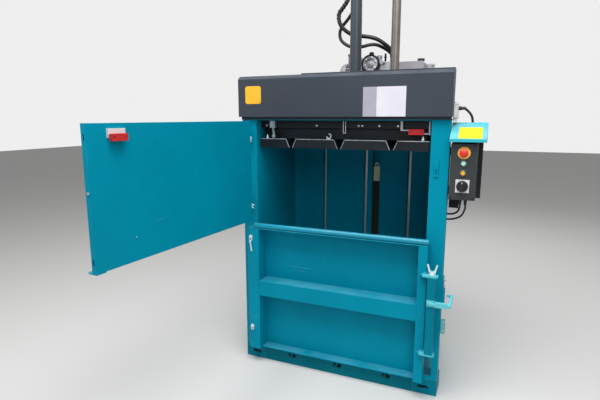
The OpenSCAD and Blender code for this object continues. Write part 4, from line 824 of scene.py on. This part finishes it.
def makePlates(s):
    info = s["info"]
    x0, x1 = info["x"]
    middle = x0 + info["band"]
    for name, finish, left, right, colour in (("info_plate", "plateWhite", middle, x1, info["colour"]),
                                              ("info_band", "plateGrey", x0, middle, info["bandColour"])):
        plate = addBlock(name, left, right, *info["y"], *info["z"])
        panelIn(plate, (0, -1, 0), info["rim"], s["sink"])
        finishPiece(plate, "frame", plainPlate(finish, colour), smooth=0)
    amber = addBlock("amber_plate", *s["amber"]["x"], *s["amber"]["y"], *s["amber"]["z"])
    roundCorners(amber, 1, s["amber"]["round"])
    panelIn(amber, (0, -1, 0), s["amber"]["rim"], s["sink"])
    finishPiece(amber, "frame", plainPlate("plateAmber", s["amber"]["colour"]), smooth=0)
    hood = s["hood"]
    foot, head = Vector(hood["foot"]), Vector(hood["head"])
    a, b = (foot.lerp(head, t) for t in hood["along"])
    rise = head - foot
    out = Vector((-rise.y, rise.x)).normalized()
    x0, x1 = hood["x"]
    place = (a + b) / 2 + out * hood["thick"] / 2
    startFresh()
    bpy.ops.mesh.primitive_cube_add(size=1.0, location=fromPosts((x0 + x1) / 2, place.x, place.y),
                                    rotation=(math.atan2(rise.y, rise.x), 0, 0))
    plate = bpy.context.object
    plate.name = "hood_plate"
    plate.scale = ((x1 - x0) / 1000, (b - a).length / 1000, hood["thick"] / 1000)
    settle(plate)
    panelIn(plate, (0, *out), hood["rim"], s["sink"])
    finishPiece(plate, "frame", plainPlate("plateYellow", hood["colour"]), smooth=0)


# Rounded folds along the front edges of the press plate, drawn in pale steel as a painted highlight on their lit
# edges
foldSettings = {
    "front": 33.0, "low": 1340.0, "high": 1388.5, "half": 489.0, "pitch": 292.0, "top": 31.0, "bottom": 10.0,
    "radius": 2.6, "step": 9.0,
    # pale steel that paints the highlight along the fold edges
    "steel": {"colour": (146, 152, 156), "second": (92, 99, 104), "stainScale": 26.0, "edge": 0.0008,
              "shine": 0.2, "bright": (190, 194, 196), "metal": 0.35, "grainStretch": (1, 1, 1),
              "grainScale": 120.0, "roughness": 0.48, "spread": 0.1, "grain": 0.2},
}


def makeFolds(s):
    parts = []
    stops = [-s["half"], -s["pitch"], 0.0, s["pitch"], s["half"]]
    last = len(stops) - 2
    for i in range(last + 1):
        a = stops[i] + (0 if i == 0 else s["top"])
        b = stops[i + 1] - (0 if i == last else s["top"])
        run = []
        if i > 0:
            run.append((stops[i] + s["bottom"], s["front"], s["low"]))
        run += [(a, s["front"], s["high"]), (b, s["front"], s["high"])]
        if i < last:
            run.append((stops[i + 1] - s["bottom"], s["front"], s["low"]))
        fine = []
        for p, q in zip(run, run[1:]):
            p, q = Vector(p), Vector(q)
            count = max(2, int((q - p).length / s["step"]))
            fine += [p.lerp(q, k / count) for k in range(count)]
        fine.append(Vector(run[-1]))
        parts.append(drawTube("fold", fine, s["radius"], 2))
    piece = finishPiece(joinAll(parts, "plate_folds"), "press", metalFinish("foldHighlightSteel", s["steel"]))


# A seam of weld scales between two points
def weldSeam(start, end, radius=3.2, pitch=5.0, waist=0.72):
    a, b = Vector(start), Vector(end)
    count = 2 * max(3, int((b - a).length / pitch))
    return drawTube("weld", [a.lerp(b, k / count) for k in range(count + 1)], radius, 1, waist)


weldSettings = {
    "frame": [((-590, 1, 1496), (-498, 1, 1496)), ((498, 1, 1496), (590, 1, 1496)),
              ((-590, 1, 92), (-460, 1, 92)), ((460, 1, 92), (590, 1, 92)),
              ((-460, 1, 4), (-460, 1, 88)), ((460, 1, 4), (460, 1, 88)),
              ((502, 60, 1496), (502, 690, 1496)), ((-502, 60, 1496), (-502, 690, 1496)),
              ((502, 60, 92), (502, 690, 92)), ((-502, 60, 92), (-502, 690, 92)),
              ((590, 3, 546), (590, 43, 546)), ((590, 3, 684), (590, 43, 684)),
              ((-64, 272, 1618), (64, 272, 1618))],
    "bale_door": [((-459, -70, 450), (-459, -70, 542)), ((472, -70, 450), (472, -70, 542)),
                  ((-459, -36, 100), (-459, 22, 100)), ((472, -36, 100), (472, 22, 100)),
                  ((-490, -57, 866), (-430, -57, 866)), ((490, -57, 866), (516, -57, 866)),
                  ((489, -73, 290), (517, -73, 290)), ((489, -73, 720), (517, -73, 720)),
                  ((-458, 23, 106), (-458, 23, 446)), ((-458, 23, 546), (-458, 23, 860)),
                  ((471, 23, 106), (471, 23, 446)), ((471, 23, 546), (471, 23, 860))],
    "lock": [((567, -103, 567), (567, -67, 567)), ((568, -104, 588), (568, -104, 560))],
}


def makeWelds(s):
    for body, seams in s.items():
        parts = [weldSeam(a, b) for a, b in seams]
        finishPiece(joinAll(parts, "weld_seams_" + body), body, "teal_paint")


# Screws of the control box cover, its seam, the mark on the knob and the rings round the buttons
boxSettings = {
    "x": (598.0, 722.0), "front": -20.0, "z": (1106.0, 1384.0), "screw": 5.0, "screwIn": 10.0,
    "seam": (24.0, 29.0, 0.6), "buttonX": 661.0, "pointer": (659.4, 662.6, -57.0, -56.2, 1191, 1199),
    # place along y, height, radius and thickness of a ring
    "collarRing": (-25.6, 1340, 24.0, 1.4), "bezelRing": (-26.0, (1289, 1241), 12.4, 1.3),
}


# Round heads with a cross cut into each, made as one piece
def addScrews(spots, y, radius):
    heads = [addRound("screw", x, y - radius * 0.35, z, "y", radius, radius * 0.9, 20, radius * 0.2)
             for x, z in spots]
    slots = []
    for x, z in spots:
        for wide, tall in ((radius * 1.3, radius * 0.28), (radius * 0.28, radius * 1.3)):
            slots.append(addBlock("slot", x - wide / 2, x + wide / 2, y - radius * 1.2, y - radius * 0.45,
                                  z - tall / 2, z + tall / 2))
    heads = joinAll(heads, "cover_screws")
    slots = joinAll(slots, "slots")
    useModifier(heads, "BOOLEAN", operation="DIFFERENCE", object=slots, solver="EXACT", use_self=True)
    bpy.data.objects.remove(slots, do_unlink=True)
    return heads


def makeBoxDetails(s):
    x0, x1 = s["x"]
    z0, z1 = s["z"]
    inset = s["screwIn"]
    spots = [(x, z) for x in (x0 + inset, x1 - inset) for z in (z0 + inset, z1 - inset)]
    finishPiece(addScrews(spots, s["front"], s["screw"]), "frame", "black_plastic")
    near, far, thick = s["seam"]
    y0, y1 = s["front"] + near, s["front"] + far
    gasket = [addBlock("gasket", x, x + thick, y0, y1, z0, z1, 0.2, 1) for x in (x0 - 0.7, x1 + 0.1)]
    gasket += [addBlock("gasket", x0, x1, y0, y1, z, z + thick, 0.2, 1) for z in (z0 - 0.7, z1 + 0.1)]
    finishPiece(joinAll(gasket, "cover_seam"), "frame", "black_plastic")
    finishPiece(addBlock("knob_pointer", *s["pointer"], 0.8, 2), "knob", "switch_white")
    y, z, radius, thick = s["collarRing"]
    ring = addRing("collar_ring", s["buttonX"], y, z, "y", radius, thick, 40, 8)
    finishPiece(joinAll([ring], "collar_ring"), "frame", "stop_yellow")
    y, heights, radius, thick = s["bezelRing"]
    nuts = [addRing("bezel_ring", s["buttonX"], y, z, "y", radius, thick, 36, 8) for z in heights]
    finishPiece(joinAll(nuts, "bezel_rings"), "frame", "black_plastic")


# What dresses the power pack. A row of a block gives its box, edge and steps, and a row of a round or a ring
# gives its place, axis and sizes, all from the middle line of the pack
packSettings = {
    "y": 530.0,
    "motor": {"face": -152.4, "z": 1775.0, "rings": (14, 24, 34), "spokes": 8, "spoke": (0.8, 1.2, 11.0)},
    "terminalBox": (-74, -8, -44, 30, 1833, 1879, 5.0, 3), "boxScrews": ((-66, -16), (-36, 22), 1881),
    "pump": {"x": 55.0, "z": 1835.0, "bolts": 6, "circle": 36, "first": 0.3, "bolt": (-80.6, 6.0, 5.2, 6, 0.7),
             "washer": (-78.6, 8.0, 1.4, 20, 0.3)},
    "darkRounds": [("boxGland", -41, -50, 1855, "y", 9.0, 14, 6, 0.8),
                   ("knobTop", 59, -63, 1903, "z", 12.0, 5, 24, 1.0, 9.0),
                   ("relayMark", 420, -31, 1812, "y", 4.0, 4, 20, 0.6)],
    "darkRings": [("knobRing", 59, -63, z, "z", 14.0, 1.6) for z in (1885, 1891, 1897)]
    + [("valveRing", 131, 0, 1879, "z", 7.0, 3.0, 24, 8)],
    "paleBlocks": [("relay", 396, 428, -30, 26, 1624, 1826, 3.0, 3),
                   ("tankSeam", 229, 357, -91.6, -89.6, 1726, 1732, 0.8, 2),
                   ("tankFoot", 215, 251, -104, -88, 1624, 1630, 1.0, 1),
                   ("tankFoot", 335, 371, -104, -88, 1624, 1630, 1.0, 1)],
    "paleRounds": [("stem", -89, -50, 1862, "z", 4.0, 78, 20, 0.8),
                   ("stemHead", -89, -50, 1896, "z", 7.5, 12, 6, 1.0),
                   ("capCollar", 348, 0, 1840.5, "z", 19.0, 5, 32, 1.2)],
    "brightRounds": [("hub", 55, -89, 1835, "y", 12.0, 4, 6, 0.8),
                     ("footBolt", 233, -96, 1633, "z", 6.0, 6, 6, 0.7),
                     ("footBolt", 353, -96, 1633, "z", 6.0, 6, 6, 0.7)],
    "brightRings": [("breather", 101, -30, z, "z", 15.2, 2.4, 28, 8) for z in range(1855, 1884, 7)]
    + [("sightGlass", 343, -91, 1700, "y", 11.0, 2.4, 28, 8)],
}


# Rings and spokes of the fan grille, which looks to the left
def makeGrille(s, y):
    face, z = s["face"], s["z"]
    parts = [addRing("grille", face + 0.2, y, z, "x", radius, 1.4, 40, 6) for radius in s["rings"]]
    dx, dy, dz = s["spoke"]
    for k in range(s["spokes"]):
        turn = 2 * math.pi * k / s["spokes"]
        my, mz = y + s["rings"][1] * math.cos(turn), z + s["rings"][1] * math.sin(turn)
        bar = addBlock("spoke", face - dx, face + dx, my - dy, my + dy, mz - dz, mz + dz, 0.4, 1)
        enterEdit(bar)
        bpy.ops.transform.rotate(value=turn - math.pi / 2, orient_axis="X",
                                 center_override=fromPosts(face, my, mz))
        leaveEdit()
        parts.append(bar)
    return parts


def makePackDetails(s):
    y = s["y"]
    dark = makeGrille(s["motor"], y)
    x0, x1, y0, y1, z0, z1, edge, steps = s["terminalBox"]
    box = addBlock("terminal_box", x0, x1, y + y0, y + y1, z0, z1, edge, steps)
    panelIn(box, (0, 0, 1), 6.0, 3.0)
    pump, (columns, lines, top) = s["pump"], s["boxScrews"]
    bolts = [addRound("boxScrew", bx, y + by, top, "z", 3.2, 3, 12, 0.6) for bx in columns for by in lines]
    for k in range(pump["bolts"]):
        turn = 2 * math.pi * k / pump["bolts"] + pump["first"]
        px, pz = pump["x"] + pump["circle"] * math.cos(turn), pump["z"] + pump["circle"] * math.sin(turn)
        for name, (dy, *sizes) in (("pumpBolt", pump["bolt"]), ("washer", pump["washer"])):
            bolts.append(addRound(name, px, y + dy, pz, "y", *sizes))

    def rows(make, key):
        return [make(name, px, y + py, *rest) for name, px, py, *rest in s[key]]

    blocks = [addBlock(name, x0, x1, y + y0, y + y1, *rest) for name, x0, x1, y0, y1, *rest in s["paleBlocks"]]
    dark += rows(addRound, "darkRounds") + rows(addRing, "darkRings")
    pale = [box] + blocks + rows(addRound, "paleRounds")
    bright = bolts + rows(addRound, "brightRounds") + rows(addRing, "brightRings")
    finishPiece(joinAll(dark, "pack_black_details"), "frame", "black_plastic")
    finishPiece(joinAll(pale, "pack_pale_details"), "frame", "tank_paint")
    finishPiece(joinAll(bright, "pack_bolts"), "frame", "zinc")


# Hinge hardware drawn near white as painted light: clips on the pins of the upper door, and a drop pin by a bolt
# of the bale door
hingeSettings = {
    "upperTop": (-516, -42, 1384), "upperLow": (-517, -42, 996), "legs": ((20, 4), (16, -16), (-8, 22)),
    "wire": 2.8, "bolts": (-509, -71, (812, 245)), "dropPin": ((-511, -78, 784), (-503, -78, 726)),
    "pinRadius": 4.4, "pinSteps": 6,
}


def makeHingeParts(s):
    wire = s["wire"]
    x, y, z = s["upperTop"]
    parts = [addRound("clipHead", x, y, z, "z", 6.5, 24, 20, 1.6),
             addRing("clipRing", x, y - 5, z + 8, "y", 9.0, wire, 24, 8)]
    x, y, z = s["upperLow"]
    parts.append(addRing("clipRing", x - 4, y, z + 6, "y", 8.0, wire, 24, 8))
    for dx, dz in s["legs"]:
        run = smoothRun([(x - 2, y, z + 2), (x + dx * 0.5, y - 3, z + dz * 0.6), (x + dx, y, z + dz)], 5)
        parts.append(drawTube("clipLeg", run, wire, 3))
    parts.append(addRound("clipHead", x, y + 2, z, "y", 9.5, 12, 6, 1.2))
    clips = metalFinish("clipSteel", clipSteel)
    finishPiece(joinAll(parts, "hinge_clips"), "frame", clips)
    parts = []
    x, y, levels = s["bolts"]
    for z in levels:
        parts.append(addRound("washer", x, y - 1.3, z, "y", 12.0, 2.6, 28, 0.6))
        parts.append(addRound("boltCap", x, y - 8.5, z, "y", 8.6, 4.0, 20, 1.4))
        parts.append(addRing("ring", x + 1, y - 5.5, z - 14, "y", 8.0, wire, 32, 8))
    top, foot = (Vector(end) for end in s["dropPin"])
    run = [top.lerp(foot, k / s["pinSteps"]) for k in range(s["pinSteps"] + 1)]
    parts.append(drawTube("dropPin", run, s["pinRadius"], 4))
    parts.append(addRound("pinHead", *top, "y", 6.0, 11, 24, 2.0))
    finishPiece(joinAll(parts, "door_clips"), "bale_door", clips)


# Pale cover on the housing where the lead leaves the header
entrySettings = {
    "x": (596.2, 618.8), "y": (19.2, 60.8), "z": (1506.0, 1580.8), "foot": (596.2, 612.8, 23.2, 56.8, 1491.4),
    "panel": (4.0, -0.4), "screwSpots": ((607, 18.6, 1516), (607, 18.6, 1571)), "screw": (2.6, 1.6, 16, 0.4),
}


def makeEntry(s):
    top = addBlock("entry_cover", *s["x"], *s["y"], *s["z"], 2.4, 3)
    panelIn(top, (0, -1, 0), *s["panel"])
    foot = addBlock("foot", *s["foot"], s["z"][0] + 0.5, 1.6, 2)
    screws = [addRound("screw", *spot, "y", *s["screw"]) for spot in s["screwSpots"]]
    finishPiece(joinAll([top, foot] + screws, "entry_cover"), "frame", "switch_white")


makeHoses(hoseSettings)
makeCables(cableSettings)
makeHingeParts(hingeSettings)
makeEntry(entrySettings)
makeBelt(beltSettings)
print("hoses, leads and belt made")
makePlates(plateSettings)
makeFolds(foldSettings)
makeWelds(weldSettings)
print("plates, folds and welds made")
makeBoxDetails(boxSettings)
makePackDetails(packSettings)
print("control box and power pack dressed")
